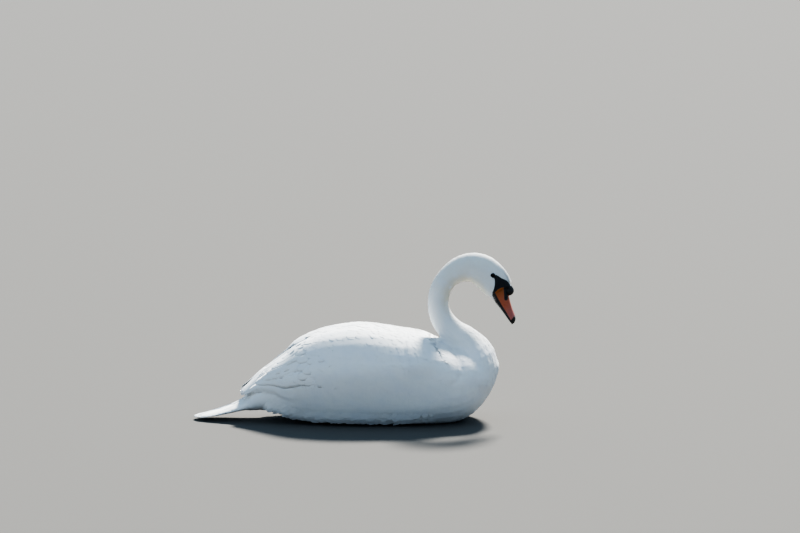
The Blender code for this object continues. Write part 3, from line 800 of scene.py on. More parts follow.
local = in_head(places)
out, apart = np.abs(local[:, 1]), eye_reach(local)
ball = EYE_PLACE[1] + np.sqrt(np.maximum(EYE_RADIUS ** 2 - apart ** 2, 0))
rim = ball + LID_HEIGHT * ease(apart, LID_OPENING - 0.0006, LID_OPENING + 0.0004)
lift = np.where(apart < LID_EDGE, np.maximum(rim, out),
                out + 0.0004 * ease(apart, LID_FOOT, LID_EDGE))
lift = np.where(apart < LID_OPENING - 0.0004, EYE_PLACE[1] + 0.002, lift)
around = (apart < LID_FOOT) & (out > CHEEK)
local[:, 1] = np.where(around, np.sign(local[:, 1]) * lift, local[:, 1])
places[around] = out_of_head(local[around])
places[:, 2] = np.maximum(places[:, 2], 0.0)
move_to(skin.data, places)
skin.data.shade_smooth()
skin.data.materials.append(skin_finish)
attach(skin, "root")
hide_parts(*FLESH)
print("lids raised over", int(around.sum()), "points")

# %% [markdown]
# ## How feathers lie
#
# Feathers grow from the skin at a slant and lie one over the next like tiles, from the bill
# to the tail. To set one down, its root is put on the skin and its vane is walked along the
# surface in short steps, each turned to the lie of the plumage at that place and raised a
# little more than the last. On the neck the lie follows the centre line downwards; on the
# body it runs back, and sinks at the breast.


# %% Find places on the skin
def unit(vectors):
    return vectors / np.maximum(np.linalg.norm(vectors, axis=-1, keepdims=True), 1e-12)


class Hide:
    """The skin's surface, with its depth below the solids."""

    def __init__(self, obj, depth):
        mesh = obj.data
        mesh.calc_loop_triangles()
        self.places, self.normals, self.depth = mesh_places(mesh), mesh_normals(mesh), depth
        corners = np.empty(len(mesh.loop_triangles) * 3, int)
        mesh.loop_triangles.foreach_get("vertices", corners)
        self.corners = corners.reshape(-1, 3)
        self.tree = BVHTree.FromPolygons(self.places.tolist(), self.corners.tolist())

    def blend(self, values, found, face):
        """Values of the corners blended at places on faces."""
        first, second, third = (self.places[self.corners[face, i]] for i in range(3))
        one, two, own = second - first, third - first, found - first
        a, b, c = (one * one).sum(1), (one * two).sum(1), (two * two).sum(1)
        d, e = (own * one).sum(1), (own * two).sum(1)
        scale = np.maximum(a * c - b * b, 1e-20)
        v, w = (c * d - b * e) / scale, (a * e - b * d) / scale
        parts = np.clip(np.stack([1 - v - w, v, w], 1), 0, 1)
        parts /= parts.sum(1, keepdims=True)
        found = values[self.corners[face]]
        return (found * (parts if values.ndim == 1 else parts[:, :, None])).sum(1)

    def nearest(self, points):
        """The nearest places, the smooth normals and the coat's depth there."""
        found, face = np.empty_like(points), np.empty(len(points), int)
        for i, point in enumerate(points.tolist()):
            found[i], _, face[i], _ = self.tree.find_nearest(point)
        normals = unit(self.blend(self.normals, found, face))
        return found, normals, self.blend(self.depth, found, face)

    def struck(self, starts, aims):
        """The places where rays strike the skin. Rays that miss are marked as such."""
        found, good = np.zeros_like(starts), np.zeros(len(starts), bool)
        for i, (start, aim) in enumerate(zip(starts.tolist(), aims.tolist())):
            place = self.tree.ray_cast(Vector(start), Vector(aim))[0]
            if place is not None:
                found[i], good[i] = place, True
        return found, good


# %% Find the way the feathers lie
FOLD_TIP = (-0.31, 0.030, 0.070)  # the wing's feathers point here, on the left
FOREHEAD_COAT = 0.0024  # the forehead's feathers stand higher, up to the knob's root


def lie(points, normals):
    """The direction in which feathers point, along the surface."""
    on_neck, _, index = neckness(points)
    x, y, _ = points.T
    down = np.zeros_like(points)
    down[:, [0, 2]] = -neck.ahead[index]
    sink = np.interp(x, [-0.30, -0.05, 0.12, 0.20, 0.30], [0.0, 0.06, 0.15, 0.40, 1.1])
    gather = ease(x, 0.0, -0.30) * 1.1  # both sides close in towards the tail
    back = np.stack([-np.ones_like(x), -y / 0.35 * gather, -sink], 1)
    tip = np.stack([np.full_like(x, FOLD_TIP[0]), np.sign(y) * FOLD_TIP[1],
                    np.full_like(x, FOLD_TIP[2])], 1)
    on_wing = ease(wing_share(points), 0.0, 0.12) * ease(x, 0.12, -0.02) * (x > -0.27)
    back = back + (unit(tip - points) - back) * on_wing[:, None]
    found = back + (down - back) * on_neck[:, None]
    found -= (found * normals).sum(1, keepdims=True) * normals
    return unit(found)


local = in_head(mesh_places(skin.data))
ridge = ease(np.abs(local[:, 1]), 0.0110, 0.0040) * ease(local[:, 2], 0.024, 0.031)
ridge *= ease(local[:, 0], -0.070, -0.035) * ease(local[:, 0], -0.006, -0.014)
depth += FOREHEAD_COAT * ridge
for line, _, half_width in CREASES:
    depth *= 1 - 0.62 * np.exp(-(distance_to_line(places, line) / half_width) ** 2)
hide = Hide(skin, np.maximum(depth, 0.0004))
print("the hide has", len(hide.corners), "triangles")

# %% [markdown]
# ## Scattering the roots
#
# Real feathers stand in even, staggered rows. Random points would clump, so points are
# thrown at the skin and each is kept only if no kept one is nearer than the spacing wanted
# there. The spacing grows from about a millimetre on the face to six on the body and eleven
# on the wings.


# %% Throw roots at the skin
def spacing(points):
    on_neck, share, _ = neckness(points)
    neck_space = np.interp(share, [0.0, 0.15, 0.30, 0.45, 0.70, 0.85, 0.95, 1.0],
                           [0.0048, 0.0038, 0.0027, 0.0020, 0.0016, 0.0013, 0.0011, 0.0010])
    body_space = np.interp(points[:, 0], [-0.38, -0.20, 0.10, 0.24, 0.33],
                           [0.0046, 0.0058, 0.0054, 0.0040, 0.0035])
    on_wing = ease(wing_share(points), 0.02, 0.20) * ease(points[:, 0], 0.16, 0.02)
    scapular = 1 + 0.25 * ease(wing_share(points), 0.55, 0.75)
    body_space = body_space * (1 + 0.75 * on_wing * scapular)
    for line, _, _ in CREASES:
        in_crease = np.exp(-(distance_to_line(points, line) / 0.016) ** 2)
        body_space = body_space * (1 - 0.38 * in_crease)
    on_neck = np.maximum(on_neck, ease(share, 0.0, 0.2) * (points[:, 0] > 0.24))
    return body_space + (neck_space - body_space) * on_neck


def throw_roots(hide, keep, seed, crowd=9, block=1500):
    """Evenly spaced roots, with the spacing at each. Crowd roots are thrown for each place."""
    rng = np.random.default_rng(seed)
    first, second, third = (hide.places[hide.corners[:, i]] for i in range(3))
    area = np.linalg.norm(np.cross(second - first, third - first), axis=1) / 2
    middle = (first + second + third) / 3
    space = spacing(middle)
    wanted = crowd * area / space ** 2 * keep(middle)
    count = int(wanted.sum())
    face = rng.choice(len(area), count, p=wanted / wanted.sum())
    one, two = rng.random((2, count, 1))
    over = one + two > 1
    one, two = np.where(over, 1 - one, one), np.where(over, 1 - two, two)
    places = first[face] + (second - first)[face] * one + (third - first)[face] * two
    space = space[face]
    kept = np.zeros(0, int)
    start = 0
    while start < count:
        tree = KDTree(max(len(kept), 1))
        for number, index in enumerate(kept):
            tree.insert(places[index], number)
        tree.balance()
        fresh = np.arange(start, min(start + block + len(kept) // 4, count))
        start = fresh[-1] + 1
        if len(kept):
            apart = np.array([tree.find(place)[2] for place in places[fresh]])
            fresh = fresh[apart > space[fresh]]
        near = np.linalg.norm(places[fresh][:, None] - places[fresh][None], axis=2)
        clash = near < space[fresh][:, None]
        taken = np.zeros(len(fresh), bool)
        for i in range(len(fresh)):
            taken[i] = not (clash[i, :i] & taken[:i]).any()
        kept = np.concatenate([kept, fresh[taken]])
    return places[kept], space[kept]


# %% [markdown]
# ## Building vanes
#
# A feather's visible part is its vane: a thin leaf, rounded at the tip, a little domed
# across. Each small one is a strip of a few faces, because there are tens of thousands. All
# vanes of a region are joined into one mesh. Their shading normals lean towards the skin's,
# which gives the soft, closed look of plumage instead of a pine cone's.


# %% Walk vanes over the skin
# Each outline is a list of (share along the vane, half width).
SMALL_VANE = [(0.0, 0.50), (0.45, 1.0), (0.80, 0.86), (0.95, 0.52), (1.0, 0.20)]
BROAD_VANE = [(0.0, 0.40), (0.30, 0.92), (0.60, 1.0), (0.80, 0.88), (0.92, 0.64), (0.98, 0.36),
              (1.0, 0.14)]
GROUND = 0.0004  # no vane goes lower than this


def walk(hide, roots, length, stops, turn):
    """Places, normals and directions at each stop of vanes that follow the lie."""
    places, normals, depth = hide.nearest(roots)
    path, gone = [], 0.0
    heading = lie(places, normals)
    for stop in stops:
        if stop > gone:
            places = places + heading * (length * (stop - gone))[:, None]
            places, normals, _ = hide.nearest(places)
            gone = stop
        ahead = lie(places, normals)
        aside = np.cross(ahead, normals)
        heading = unit(ahead * np.cos(turn)[:, None] + aside * np.sin(turn)[:, None])
        path.append((places, normals, heading))
    return [np.stack(part, 1) for part in zip(*path)], depth


def spread(hide, path, half_width, height, across, dome, follow=False):
    """A grid of points for each vane: stops along by points across."""
    places, normals, heading = path
    aside = unit(np.cross(heading, normals))
    share = np.linspace(-1, 1, across)
    offset = share[None, None, :] * half_width[:, :, None]
    grid = places[:, :, None] + aside[:, :, None] * offset[..., None]
    up = np.repeat(normals[:, :, None], across, 2)
    if follow:
        flat, flat_up, _ = hide.nearest(grid.reshape(-1, 3))
        grid, up = flat.reshape(grid.shape), flat_up.reshape(grid.shape)
    rise = height[:, :, None] - dome * half_width[:, :, None] * share ** 2
    grid = grid + up * rise[..., None]
    grid[..., 2] = np.maximum(grid[..., 2], GROUND)
    return grid, up


print("a small vane has", len(SMALL_VANE), "stops, a broad one", len(BROAD_VANE))


# %% Sew vanes into one mesh
PATCH = 0.0015  # half the side of a feather's patch in the unwrap


def add_map(mesh, name, values, corner):
    """A UV map from one value for each vertex."""
    layer = mesh.uv_layers.new(name=name)
    layer.data.foreach_set("uv", values.reshape(-1, 2)[corner].reshape(-1))


def sew(name, grid, up, finish, tone, chart, soft=0.7, thickness=0.0):
    """Joins vanes into one piece with its maps, and sets it on the bird."""
    count, stops, across = grid.shape[:3]
    number = np.arange(count * stops * across).reshape(count, stops, across)
    quads = np.stack([number[:, :-1, :-1], number[:, :-1, 1:],
                      number[:, 1:, 1:], number[:, 1:, :-1]], -1).reshape(-1, 4)
    mesh = bpy.data.meshes.new(name)
    mesh.vertices.add(number.size)
    mesh.loops.add(quads.size)
    mesh.polygons.add(len(quads))
    mesh.vertices.foreach_set("co", grid.reshape(-1))
    mesh.loops.foreach_set("vertex_index", quads.reshape(-1))
    mesh.polygons.foreach_set("loop_start", np.arange(0, quads.size, 4))
    mesh.update(calc_edges=True)
    corner = quads.reshape(-1)

    reach = np.linalg.norm(np.diff(grid[:, :, across // 2], axis=1), axis=2)
    run = np.concatenate([np.zeros((count, 1)), np.cumsum(reach, 1)], 1) * 10
    wide = np.linspace(0, 1, across)[None, None, :]
    add_map(mesh, "vane", np.stack(np.broadcast_arrays(wide, run[:, :, None]), -1), corner)
    patch = np.stack(np.broadcast_arrays(
        np.linspace(-PATCH, PATCH, across)[None, None, :],
        np.linspace(-PATCH, PATCH, stops)[None, :, None], np.zeros((count, 1, 1))), -1)[..., :2]
    patch = patch + chart(grid[:, 0, across // 2])[:, None, None]
    add_map(mesh, "OFBake", np.clip(patch, 0.0005, 0.9995), corner)
    mesh.uv_layers["vane"].active_render = True
    mesh.uv_layers["vane"].active = True
    tones = np.repeat(tone, stops * across)
    mesh.attributes.new("tone", "FLOAT", "POINT").data.foreach_set("value", tones)

    mesh.materials.append(finish)
    mesh.shade_smooth()
    obj = bpy.data.objects.new(name, mesh)
    bpy.context.collection.objects.link(obj)
    if thickness:
        apply_modifier(obj, "SOLIDIFY", thickness=thickness, offset=-1.0)
    else:
        own = mesh_normals(mesh)
        mesh.normals_split_custom_set_from_vertices(unit(own + (up.reshape(-1, 3) - own) * soft))
    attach(obj, "root")
    print(name, count, "vanes,", len(obj.data.polygons) * 2, "triangles")
    return obj


# %% Unwrap the neck and the body
CHART_AXIS_Z, CHART_HALF_LENGTH = 0.076, 0.40


def neck_chart(points):
    """The unwrap of the neck and head: along the centre line, and round it."""
    share, index = neck.nearest(points)
    flat = points[:, [0, 2]] - neck.line[index]
    ahead = neck.ahead[index]
    out = flat[:, 0] * ahead[:, 1] - flat[:, 1] * ahead[:, 0]
    return np.stack([share, np.arctan2(points[:, 1], out) / (2 * math.pi) + 0.5], 1)


def body_chart(points):
    """The unwrap of the body: along its length, and round it."""
    turn = np.arctan2(points[:, 1], points[:, 2] - CHART_AXIS_Z)
    share = (points[:, 0] + CHART_HALF_LENGTH) / (2 * CHART_HALF_LENGTH)
    return np.stack([share, turn / (2 * math.pi) + 0.5], 1)


print("the middle of the back is charted at", body_chart(np.array([[0.0, 0.0, 0.2]]))[0])

# %% [markdown]
# ## The small feathers
#
# One throw of roots covers the bird. The vanes are five times as long as their spacing, so
# that about five lie over each other everywhere and no skin shows. No feather grows on the
# bare face, under the bill's own pieces, or on the flat of the belly that the bird lies on.
# The long feathers, set later, cover the rear of the wings and the end of the tail.

# %% Where the long feathers take over
FEATHERED_TO = -0.335  # x on the tail, behind which only its long feathers lie


def under_long_feathers(points):
    """True where secondaries, tertials and primaries lie over the skin."""
    q, x = wing_share(points), points[:, 0]
    line = np.interp(q, [0.0, 0.5, 1.0], [-0.030, -0.075, -0.070])
    low = 0.10 - 0.08 * ease(x, -0.170, -0.200)
    tip = (x < -0.188) & (points[:, 2] > wing_heights(x)[0] - 0.0045)
    return ((q > low) & (x < line) & (x > -0.262)) | tip


def feathered(middle):
    keep = bare_face(middle, 0.0012) < 0.5
    keep &= past_bill_root(middle) < 0.3
    keep &= middle[:, 2] > 0.0008
    keep &= middle[:, 0] > FEATHERED_TO
    return (keep & ~under_long_feathers(middle)).astype(float)


roots, space = throw_roots(hide, feathered, seed=11)
print(len(roots), "small feathers")

# %% Dress the bird in small feathers
rng = np.random.default_rng(23)


def dress(name, chosen, vane, across, chart, long=5.0, wide=1.25, follow=False, soft=0.7):
    """Vanes of a region, sized by the spacing of their roots."""
    own, gap = roots[chosen], space[chosen]
    count = len(own)
    length = gap * long * rng.normal(1, 0.10, count).clip(0.7, 1.3)
    half = gap * wide * rng.normal(1, 0.08, count).clip(0.8, 1.2)
    turn = rng.normal(0, 0.10, count)
    stops, widths = np.array(vane).T
    path, depth = walk(hide, own, length, stops, turn)
    clear = np.array([not near or bare_face(stop, -0.0004).max() < 0.5  # off the bare face
                      for stop, near in zip(path[0], near_head(own, 0.06))])
    path = [part[clear] for part in path]
    depth, half, count = depth[clear], half[clear], int(clear.sum())
    lift = depth * rng.normal(0.97, 0.05, count).clip(0.8, 1.1)
    rise = stops ** 0.32 - 0.09 * (stops > 0.95)  # fast at the root, and the tip bends down
    height = lift[:, None] * rise[None, :]
    tone = 1 - np.abs(rng.normal(0, 0.05, count)).clip(0, 0.2)
    grid, up = spread(hide, path, half[:, None] * widths, height, across, 0.03, follow=follow)
    return sew(name, grid, up, small_plumage, tone, chart, soft)


on_neck, share, _ = neckness(roots)
is_neck = on_neck > 0.5
is_head, is_low = is_neck & (share > 0.80), is_neck & (share <= 0.58)
is_high = is_neck & ~is_head & ~is_low
dress("coat_head", is_head, SMALL_VANE, 2, neck_chart, long=4.6, soft=0.86)
dress("coat_neck_upper", is_high, SMALL_VANE, 2, neck_chart, soft=0.8)
dress("coat_neck_lower", is_low, SMALL_VANE, 2, neck_chart, soft=0.78)
is_front = ~is_neck & (roots[:, 0] > 0.16)
dress("coat_breast", is_front, BROAD_VANE, 3, body_chart, follow=True, soft=0.82)
for name, side in (("left", 1), ("right", -1)):
    half_body = ~is_neck & ~is_front & (np.sign(roots[:, 1]) == side)
    dress("coat_body_" + name, half_body, BROAD_VANE, 3, body_chart, follow=True)

# %% [markdown]
# The flank feathers hang over the folded legs down to the ground, so a fringe of them closes
# the space between the belly's edge and the floor.

# %% Hang a fringe of flank feathers
FRINGE_LENGTH, FRINGE_HALF_WIDTH, FRINGE_RISE, FRINGE_SLOPE = 0.035, 0.0056, 0.0046, 0.62


def fringe(name, side, count=640):
    x = rng.uniform(-0.185, 0.200, count)
    z = rng.uniform(0.018, 0.042, count) + 0.022 * ease(x, -0.10, -0.18)
    start = np.stack([x, np.full_like(x, 0.3 * side), z], 1)
    root, good = hide.struck(start, np.tile([0.0, -side, 0.0], (len(x), 1)))
    root = root[good]
    _, normals, _ = hide.nearest(root)
    stops, widths = np.array(BROAD_VANE).T
    count = len(root)
    heading = unit(np.stack([-np.ones(count), rng.normal(0.0, 0.05, count),
                             rng.normal(-FRINGE_SLOPE, 0.10, count)], 1))
    heading -= 0.85 * (heading * normals).sum(1, keepdims=True) * normals
    fade = ease(root[:, 0], 0.20, 0.14)
    length = FRINGE_LENGTH * rng.normal(1, 0.12, count).clip(0.7, 1.3) * (0.45 + 0.55 * fade)
    path = root[:, None] + (unit(heading) * length[:, None])[:, None] * stops[None, :, None]
    up = np.repeat(normals[:, None], len(stops), 1)
    half = (FRINGE_HALF_WIDTH * rng.normal(1, 0.12, count).clip(0.7, 1.3))[:, None] * widths[None]
    rise = np.repeat((FRINGE_RISE * stops ** 0.6)[None], count, 0)
    ahead = np.repeat(unit(heading)[:, None], len(stops), 1)
    grid, up = spread(hide, (path, up, ahead), half, rise, 3, 0.06)
    tone = 1 - np.abs(rng.normal(0, 0.05, count)).clip(0, 0.2)
    return sew(name, grid, up, small_plumage, tone, body_chart)


fringe("fringe_left", 1)
fringe("fringe_right", -1)

# %% [markdown]
# ## The long feathers of the wings
#
# A folded wing is a closed fan. From the outside one sees, from the tip forwards, the ends of
# the primaries, the secondaries along the lower edge, the broad tertials above them, and over
# their roots the greater coverts. The scapulars, which roof the seam between wing and back,
# are among the small feathers. Each long feather is placed by where its root and its tip lie
# on the folded wing: x along the body, and a share q up from the wing's lower edge to the
# middle of the back.

# %% Chart the folded wings
LONG_VANE = [(0.0, 0.55), (0.15, 0.85), (0.35, 1.0), (0.55, 1.0), (0.74, 0.97), (0.84, 0.88),
             (0.91, 0.74), (0.96, 0.54), (0.99, 0.30), (1.0, 0.12)]
POINTED_VANE = [(0.0, 0.60), (0.15, 0.90), (0.35, 1.0), (0.55, 0.95), (0.74, 0.80),
                (0.87, 0.58), (0.95, 0.36), (1.0, 0.12)]
WING_TIP_X, WING_REAR_X, WING_FRONT_X = -0.2820, -0.2480, 0.2300


class FoldedWing:
    """A wing's surface, smoothed, by x and by the share q from its lower edge to the back."""

    TILT = 0.02  # each feather's lower edge stands up by this slope, over the next one

    def __init__(self, side):
        self.side = side
        self.x, self.q = np.linspace(WING_TIP_X, WING_FRONT_X, 150), np.linspace(-0.12, 1.0, 43)
        low, axis = wing_heights(self.x)
        centre = np.stack([self.x, np.full_like(self.x, 0.004 * side), axis], 1)

        def strike(angle, start):
            out = np.stack([np.zeros_like(angle), side * np.cos(angle), np.sin(angle)], 1)
            return hide.struck(start + out * 0.4, -out)[0]

        small, big = np.full_like(self.x, -0.9), np.full_like(self.x, 1.4)
        for _ in range(10):  # the angle at which the skin has the edge's height
            angle = (small + big) / 2
            below = strike(angle, centre)[:, 2] < low
            small, big = np.where(below, angle, small), np.where(below, big, angle)
        angles = angle[:, None] + (math.pi / 2 - angle[:, None]) * self.q
        starts = np.repeat(centre, len(self.q), 0)
        table = strike(angles.ravel(), starts).reshape(len(self.x), len(self.q), 3)
        rear = np.searchsorted(self.x, WING_REAR_X)  # behind this the rows lead to the tip
        q = np.clip(self.q, -0.1, 1)
        tip = np.stack([0 * q, side * (0.046 - 0.040 * q),
                        0.0650 + 0.0040 * q + 0.008 * q * (1 - q)], 1)
        share = (self.x[rear] - self.x[:rear, None, None]) / (self.x[rear] - WING_TIP_X)
        table[:rear] = table[rear] * (1 - share) + tip * share
        table[:rear, :, 0] = self.x[:rear, None]
        for _ in range(5):
            table[1:-1] = (table[:-2] + 2 * table[1:-1] + table[2:]) / 4
            table[:, 1:-1] = (table[:, :-2] + 2 * table[:, 1:-1] + table[:, 2:]) / 4
        table[0], table[-1] = 2 * table[1] - table[2], 2 * table[-2] - table[-3]
        flat = table.reshape(-1, 3)
        place, normal, _ = hide.nearest(flat)
        outside = ((flat - place) * normal).sum(1, keepdims=True)
        flat -= np.minimum(outside, 0) * normal
        table[1:-1, 1:-1] = (table[1:-1, 1:-1] * 2 + table[:-2, 1:-1] + table[2:, 1:-1]) / 4
        self.table = table

    def at(self, x, q):
        """The place, and how it moves with x and with q."""
        step_x, step_q = np.diff(self.x)[0], np.diff(self.q)[0]
        i, j = (x - self.x[0]) / step_x, (q - self.q[0]) / step_q
        j = np.minimum(j, len(self.q) - 1.0001)
        left = np.clip(i.astype(int), 0, len(self.x) - 2)
        low = np.clip(j.astype(int), 0, len(self.q) - 2)
        u, v = (i - left)[..., None], (j - low)[..., None]
        a, b = self.table[left, low], self.table[left + 1, low]
        c, d = self.table[left, low + 1], self.table[left + 1, low + 1]
        place = (a * (1 - u) + b * u) * (1 - v) + (c * (1 - u) + d * u) * v
        along_x = ((b - a) * (1 - v) + (d - c) * v) / step_x
        along_q = ((c - a) * (1 - u) + (d - b) * u) / step_q
        return place, along_x, along_q

    def feathers(self, name, rows, vane, height, across=5, thickness=0.0004, curl=0.0, sunk=0.4):
        """Feathers from rows of (root x, root q, tip x, tip q, half width, extra height)."""
        rows = np.array(rows)
        stops, widths = np.array(vane).T
        x = rows[:, 0:1] + (rows[:, 2:3] - rows[:, 0:1]) * stops
        q = rows[:, 1:2] + (rows[:, 3:4] - rows[:, 1:2]) * stops
        place, along_x, along_q = self.at(x, q)
        up = unit(np.cross(along_q, along_x) * self.side)
        heading = unit(np.gradient(place, axis=1))
        aside = unit(np.cross(heading, up)) * self.side  # towards the lower edge
        frame_of = np.stack([along_x, along_q], -1)
        step = np.linalg.pinv(frame_of) @ aside[..., None]
        offset = np.linspace(-1, 1, across) * (rows[:, 4:5] * widths)[..., None]
        x, q = x[..., None] + step[:, :, 0] * offset, q[..., None] + step[:, :, 1] * offset
        grid, along_x, along_q = self.at(x, q)
        up = unit(np.cross(along_q, along_x) * self.side)
        profile = (1 + sunk) * stops ** 0.38 - sunk - 0.16 * ease(stops, 0.84, 1.0)  # ends dip
        rise = height * profile[None, :, None] + rows[:, 5][:, None, None]
        rise = rise + curl * stops[None, :, None] ** 7
        dome = 0.05 * np.abs(offset) * np.abs(np.linspace(-1, 1, across))
        rise = rise + self.TILT * offset - dome
        rise = rise * (1 - 0.8 * ease(q, 0.86, 0.99))  # rounded off where the wings meet
        grid = grid + up * rise[..., None]
        if self.side < 0:  # keep the faces outwards on both wings
            grid, up = grid[:, :, ::-1], up[:, :, ::-1]
        tone = 1 - np.abs(rng.normal(0, 0.04, len(rows))).clip(0, 0.15)
        return sew(name, grid, up, long_plumage, tone, body_chart, 0.55, thickness)


# %% Fold the wings
def jitter(values, amount):
    return np.array(values) + rng.normal(0, amount, len(values)).clip(-2 * amount, 2 * amount)


def row_of_feathers(tips, shares, length, slant, half_width, height):
    """Feathers side by side, whose roots lie ahead of their tips and higher up the wing."""
    return [(tip + length, q + slant, tip, q, half_width, height) for tip, q in zip(tips, shares)]


# The left wing's tertials lie over the right wing's, and their edges stand out.
TERTIAL_EDGE = {"left": {"thickness": 0.0028, "curl": 0.0008}, "right": {}}
TERTIALS = [(0.030 - 0.010 * i, 0.97 - 0.075 * i, -0.146 - 0.0125 * i, 0.91 - 0.095 * i,
             0.0235 - 0.0010 * i, 0.0024 - 0.0002 * i) for i in range(7)]
PRIMARIES = [(-0.110, 0.25 + 0.65 * q, -0.2790 + 0.070 * abs(q - 0.35) ** 1.6, q, 0.0110, 0.0)
             for q in np.linspace(0.05, 0.95, 10)]

for name, side in (("left", 1), ("right", -1)):
    wing = FoldedWing(side)
    secondaries = row_of_feathers(jitter(np.linspace(-0.248, 0.000, 20), 0.0020),
                                  jitter([0.055] * 20, 0.006), 0.140, 0.10, 0.0150, 0.0003)
    secondaries += row_of_feathers(jitter(np.linspace(-0.236, -0.080, 13), 0.0040),
                                   jitter([0.21] * 13, 0.02), 0.160, 0.16, 0.0170, 0.0008)
    coverts = []
    for row, start in enumerate(np.linspace(0.060, -0.150, 14)):
        tips = jitter([start] * 9, 0.0035)
        shares = jitter(np.linspace(0.06, 0.86, 9) + 0.05 * (row % 2), 0.012)
        coverts += [(x + 0.075, q + 0.04, x, q, 0.0130, -0.0038 * ease(x, -0.03, 0.045))
                    for x, q in zip(tips, shares) if x > -0.155 + 0.09 * abs(q - 0.5)]
    wing.feathers("primaries_" + name, PRIMARIES, POINTED_VANE, 0.0012)
    wing.feathers("secondaries_" + name, secondaries, LONG_VANE, 0.0026)
    wing.feathers("tertials_" + name, TERTIALS[::-1], LONG_VANE, 0.0026, **TERTIAL_EDGE[name])
    wing.feathers("greater_coverts_" + name, coverts, LONG_VANE, 0.0043, sunk=0.9)

# %% [markdown]
# ## The tail
#
# The tail is a short fan of stiff feathers, folded to a wedge. The middle pair lies on top.

# %% Fan the tail
TAIL_TIPS = [(-0.3868, 0.0035), (-0.3860, 0.0085), (-0.3838, 0.0135), (-0.3805, 0.0185),
             (-0.3760, 0.0232), (-0.3695, 0.0275), (-0.3615, 0.0315), (-0.3520, 0.0350),
             (-0.3410, 0.0380)]  # x, half width
TAIL_ROOT = -0.2520
TAIL_HALF_WIDTH = 0.0100  # of one feather


def tail_feathers():
    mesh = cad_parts["tail"].data
    solid = BVHTree.FromPolygons([v.co for v in mesh.vertices],
                                 [tuple(f.vertices) for f in mesh.polygons])
    stops, widths = np.array(LONG_VANE).T
    paths, halves, heights = [], [], []
    for side in (1, -1):
        for i, (tip_x, tip_y) in enumerate(TAIL_TIPS):
            start = np.array([TAIL_ROOT, side * (0.002 + 0.0022 * i), 0.0])
            end = np.array([tip_x, side * tip_y, 0.0])
            line = start + (end - start) * stops[:, None]
            for point in line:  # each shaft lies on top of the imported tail
                struck = solid.ray_cast(Vector((*point[:2], 0.3)), Vector((0, 0, -1)))[0]
                point[2] = struck.z if struck else point[2]
            outside = line[:, 2] == 0.0
            line[outside, 2] = line[~outside, 2].min()
            paths.append(line)
            halves.append(TAIL_HALF_WIDTH * widths)
            heights.append(-0.0012 + 0.00022 * (len(TAIL_TIPS) - i) + 0.0004 * stops)
    places = np.array(paths)
    heading = unit(np.gradient(places, axis=1))
    aside = unit(np.cross(heading, [0.0, 0.0, 1.0]))
    normals = unit(np.cross(aside, heading) + [0.0, 0.0, 0.3])
    normals[..., 1] += places[..., 1] * 8.0
    normals = unit(normals)
    path = places, normals, heading
    grid, up = spread(hide, path, np.array(halves), np.array(heights), 5, 0.03)
    tone = 1 - np.abs(rng.normal(0, 0.04, len(paths))).clip(0, 0.15)
    return sew("tail_feathers", grid, up, long_plumage, tone, body_chart, thickness=0.0005)


tail_feathers()

# %% [markdown]
# ## The bill
#
# The bill is horn. Its solids are remeshed finely and smoothed, and the nostrils are pressed
# in. The orange runs from brown at the root to pink at the tip. The knob, a band round the
# nostrils, the cutting edge and the nail are black.

# %% Make black horn
HORN_BLACK, WORN_HORN = (0.010, 0.010, 0.011), (0.028, 0.028, 0.030)


def make_black_horn_finish(name, roughness, bumps):
    finish = Finish(name, Specular_IOR_Level=0.5)
    worn = finish.noise(380.0).eased(0.4, 0.8)
    finish.set(Base_Color=finish.mix(worn, HORN_BLACK, WORN_HORN),
               Roughness=roughness + finish.noise(800.0) * 0.15)
    return finish.bump(finish.cells(bumps) + finish.noise(bumps * 1.4) * 0.5, 0.0003, 0.6).material


black_horn = make_black_horn_finish("black_horn", 0.34, 1400.0)
print("finish:", black_horn.name)


# %% Shape the bill
NOSTRIL_HALF_LENGTH, NOSTRIL_HALF_WIDTH, NOSTRIL_DEPTH = 0.0046, 0.0015, 0.0022


def smooth_copy(name, nodes, grid, rounds, finish):
    """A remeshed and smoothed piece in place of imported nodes."""
    obj = copy_nodes(name, *nodes)
    apply_modifier(obj, "REMESH", mode="VOXEL", voxel_size=grid, adaptivity=0.0)
    apply_modifier(obj, "SMOOTH", factor=0.5, iterations=rounds)
    obj.data.shade_smooth()
    obj.data.materials.append(finish)
    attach(obj, "root")
    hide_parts(*nodes)
    print(name, len(obj.data.polygons) * 2, "triangles")
    return obj


def lengthen_root(obj, start, reach, narrow):
    """Draws the hidden rear end of a piece back under the skin."""
    places = mesh_places(obj.data)
    local = in_head(places)
    share = ease(local[:, 0], start + 0.003, start)
    local[:, 0] -= reach * share
    local[:, 1] *= 1 - narrow * share
    local[:, 2] = local[:, 2] - (local[:, 2] - 0.002) * narrow * share
    move_to(obj.data, out_of_head(local))


bill = smooth_copy("bill", ["bill_upper"], 0.0007, 5, bill_finish)
lengthen_root(bill, -0.0170, 0.0065, 0.01)
places, normals = mesh_places(bill.data), mesh_normals(bill.data)
local = in_head(places)
slit_x, slit_z = local[:, 0] - NOSTRIL[0], local[:, 2] - NOSTRIL[1]
slant = math.atan2(BAND_END[1] - BAND_START[1], BAND_END[0] - BAND_START[0])
along = slit_x * math.cos(slant) + slit_z * math.sin(slant)
across = slit_z * math.cos(slant) - slit_x * math.sin(slant)
hole = np.hypot(along / NOSTRIL_HALF_LENGTH, across / NOSTRIL_HALF_WIDTH)
places -= normals * (NOSTRIL_DEPTH * (1 - ease(hole, 0.35, 1.15)))[:, None]
move_to(bill.data, places)

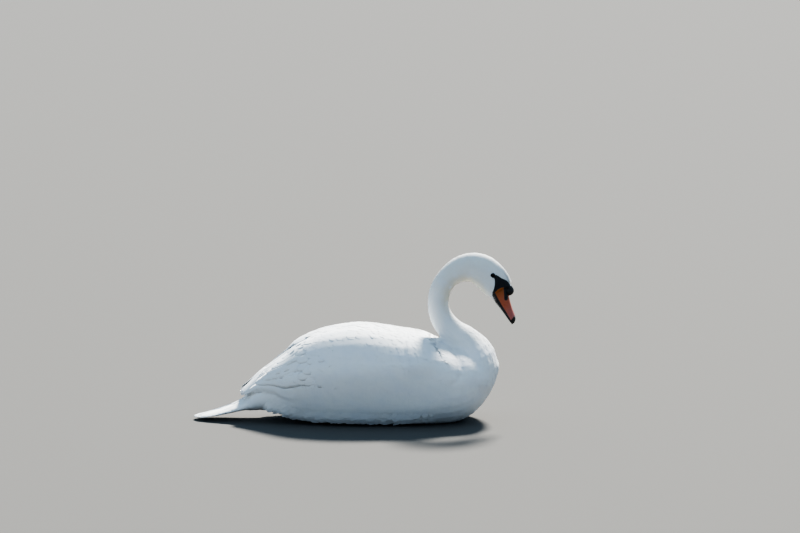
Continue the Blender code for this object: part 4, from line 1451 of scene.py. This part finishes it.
lower_bill = smooth_copy("lower_bill", ["bill_lower"], 0.0007, 4, black_horn)
lengthen_root(lower_bill, 0.0008, 0.0070, 0.12)
smooth_copy("nail", ["bill_nail"], 0.0004, 3, black_horn)
knob = smooth_copy("knob", ["bill_knob"], 0.0006, 4, black_horn)
local = in_head(mesh_places(knob.data))
local[:, 0] -= 0.0060 * ease(local[:, 0], -0.0050, -0.0180)
move_to(knob.data, out_of_head(local))

# %% [markdown]
# ## The eyes
#
# A swan's eye is a dark brown ball with a black pupil, wet and shining, set in black lids.

# %% Make the eyes
IRIS, IRIS_DARK, PUPIL, EYE_RIM = ((0.016, 0.008, 0.004), (0.008, 0.004, 0.003),
                                   (0.002, 0.002, 0.002), (0.006, 0.005, 0.005))
PUPIL_EDGE, IRIS_EDGE = (0.0021, 0.0025), (0.0036, 0.0042)


def make_eye_finish():
    finish = Finish("wet_eye", Coat_Weight=0.7, Coat_Roughness=0.03, Coat_IOR=1.33,
                    Specular_IOR_Level=0.0)
    x, z = finish.head_axes()
    across, up = x - EYE_PLACE[0], z - EYE_PLACE[2]
    out = (across * across + up * up) ** 0.5
    iris = finish.mix(finish.noise(900.0).eased(0.3, 0.7), IRIS, IRIS_DARK)
    colour = finish.mix(out.eased(*PUPIL_EDGE), PUPIL, iris)
    colour = finish.mix(out.eased(*IRIS_EDGE), colour, EYE_RIM)
    finish.set(Base_Color=colour, Roughness=0.20 + out * 8.0)
    return finish.material


eye_finish = make_eye_finish()
for name, side in (("eye_left", 1), ("eye_right", -1)):
    centre = HEAD @ Vector((EYE_PLACE[0], side * EYE_PLACE[1], EYE_PLACE[2]))
    bpy.ops.mesh.primitive_uv_sphere_add(segments=48, ring_count=32, radius=EYE_RADIUS,
                                         location=centre)
    eye = bpy.context.object
    eye.name = "ball_" + name
    bpy.ops.object.transform_apply(location=True, rotation=True, scale=True)
    eye.data.shade_smooth()
    eye.data.materials.append(eye_finish)
    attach(eye, "root")
    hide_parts(name)
    print(eye.name, "at", centre)

# %% [markdown]
# ## The feet
#
# The bird lies on its folded legs. The webbed feet are black and scaly.

# %% Finish the feet
foot_skin = make_black_horn_finish("foot_skin", 0.50, 520.0)
for side in ("left", "right"):
    smooth_copy("webbed_foot_" + side, ["foot_" + side], 0.0009, 3, foot_skin)
    smooth_copy("shank_" + side, ["leg_" + side], 0.0012, 3, foot_skin)
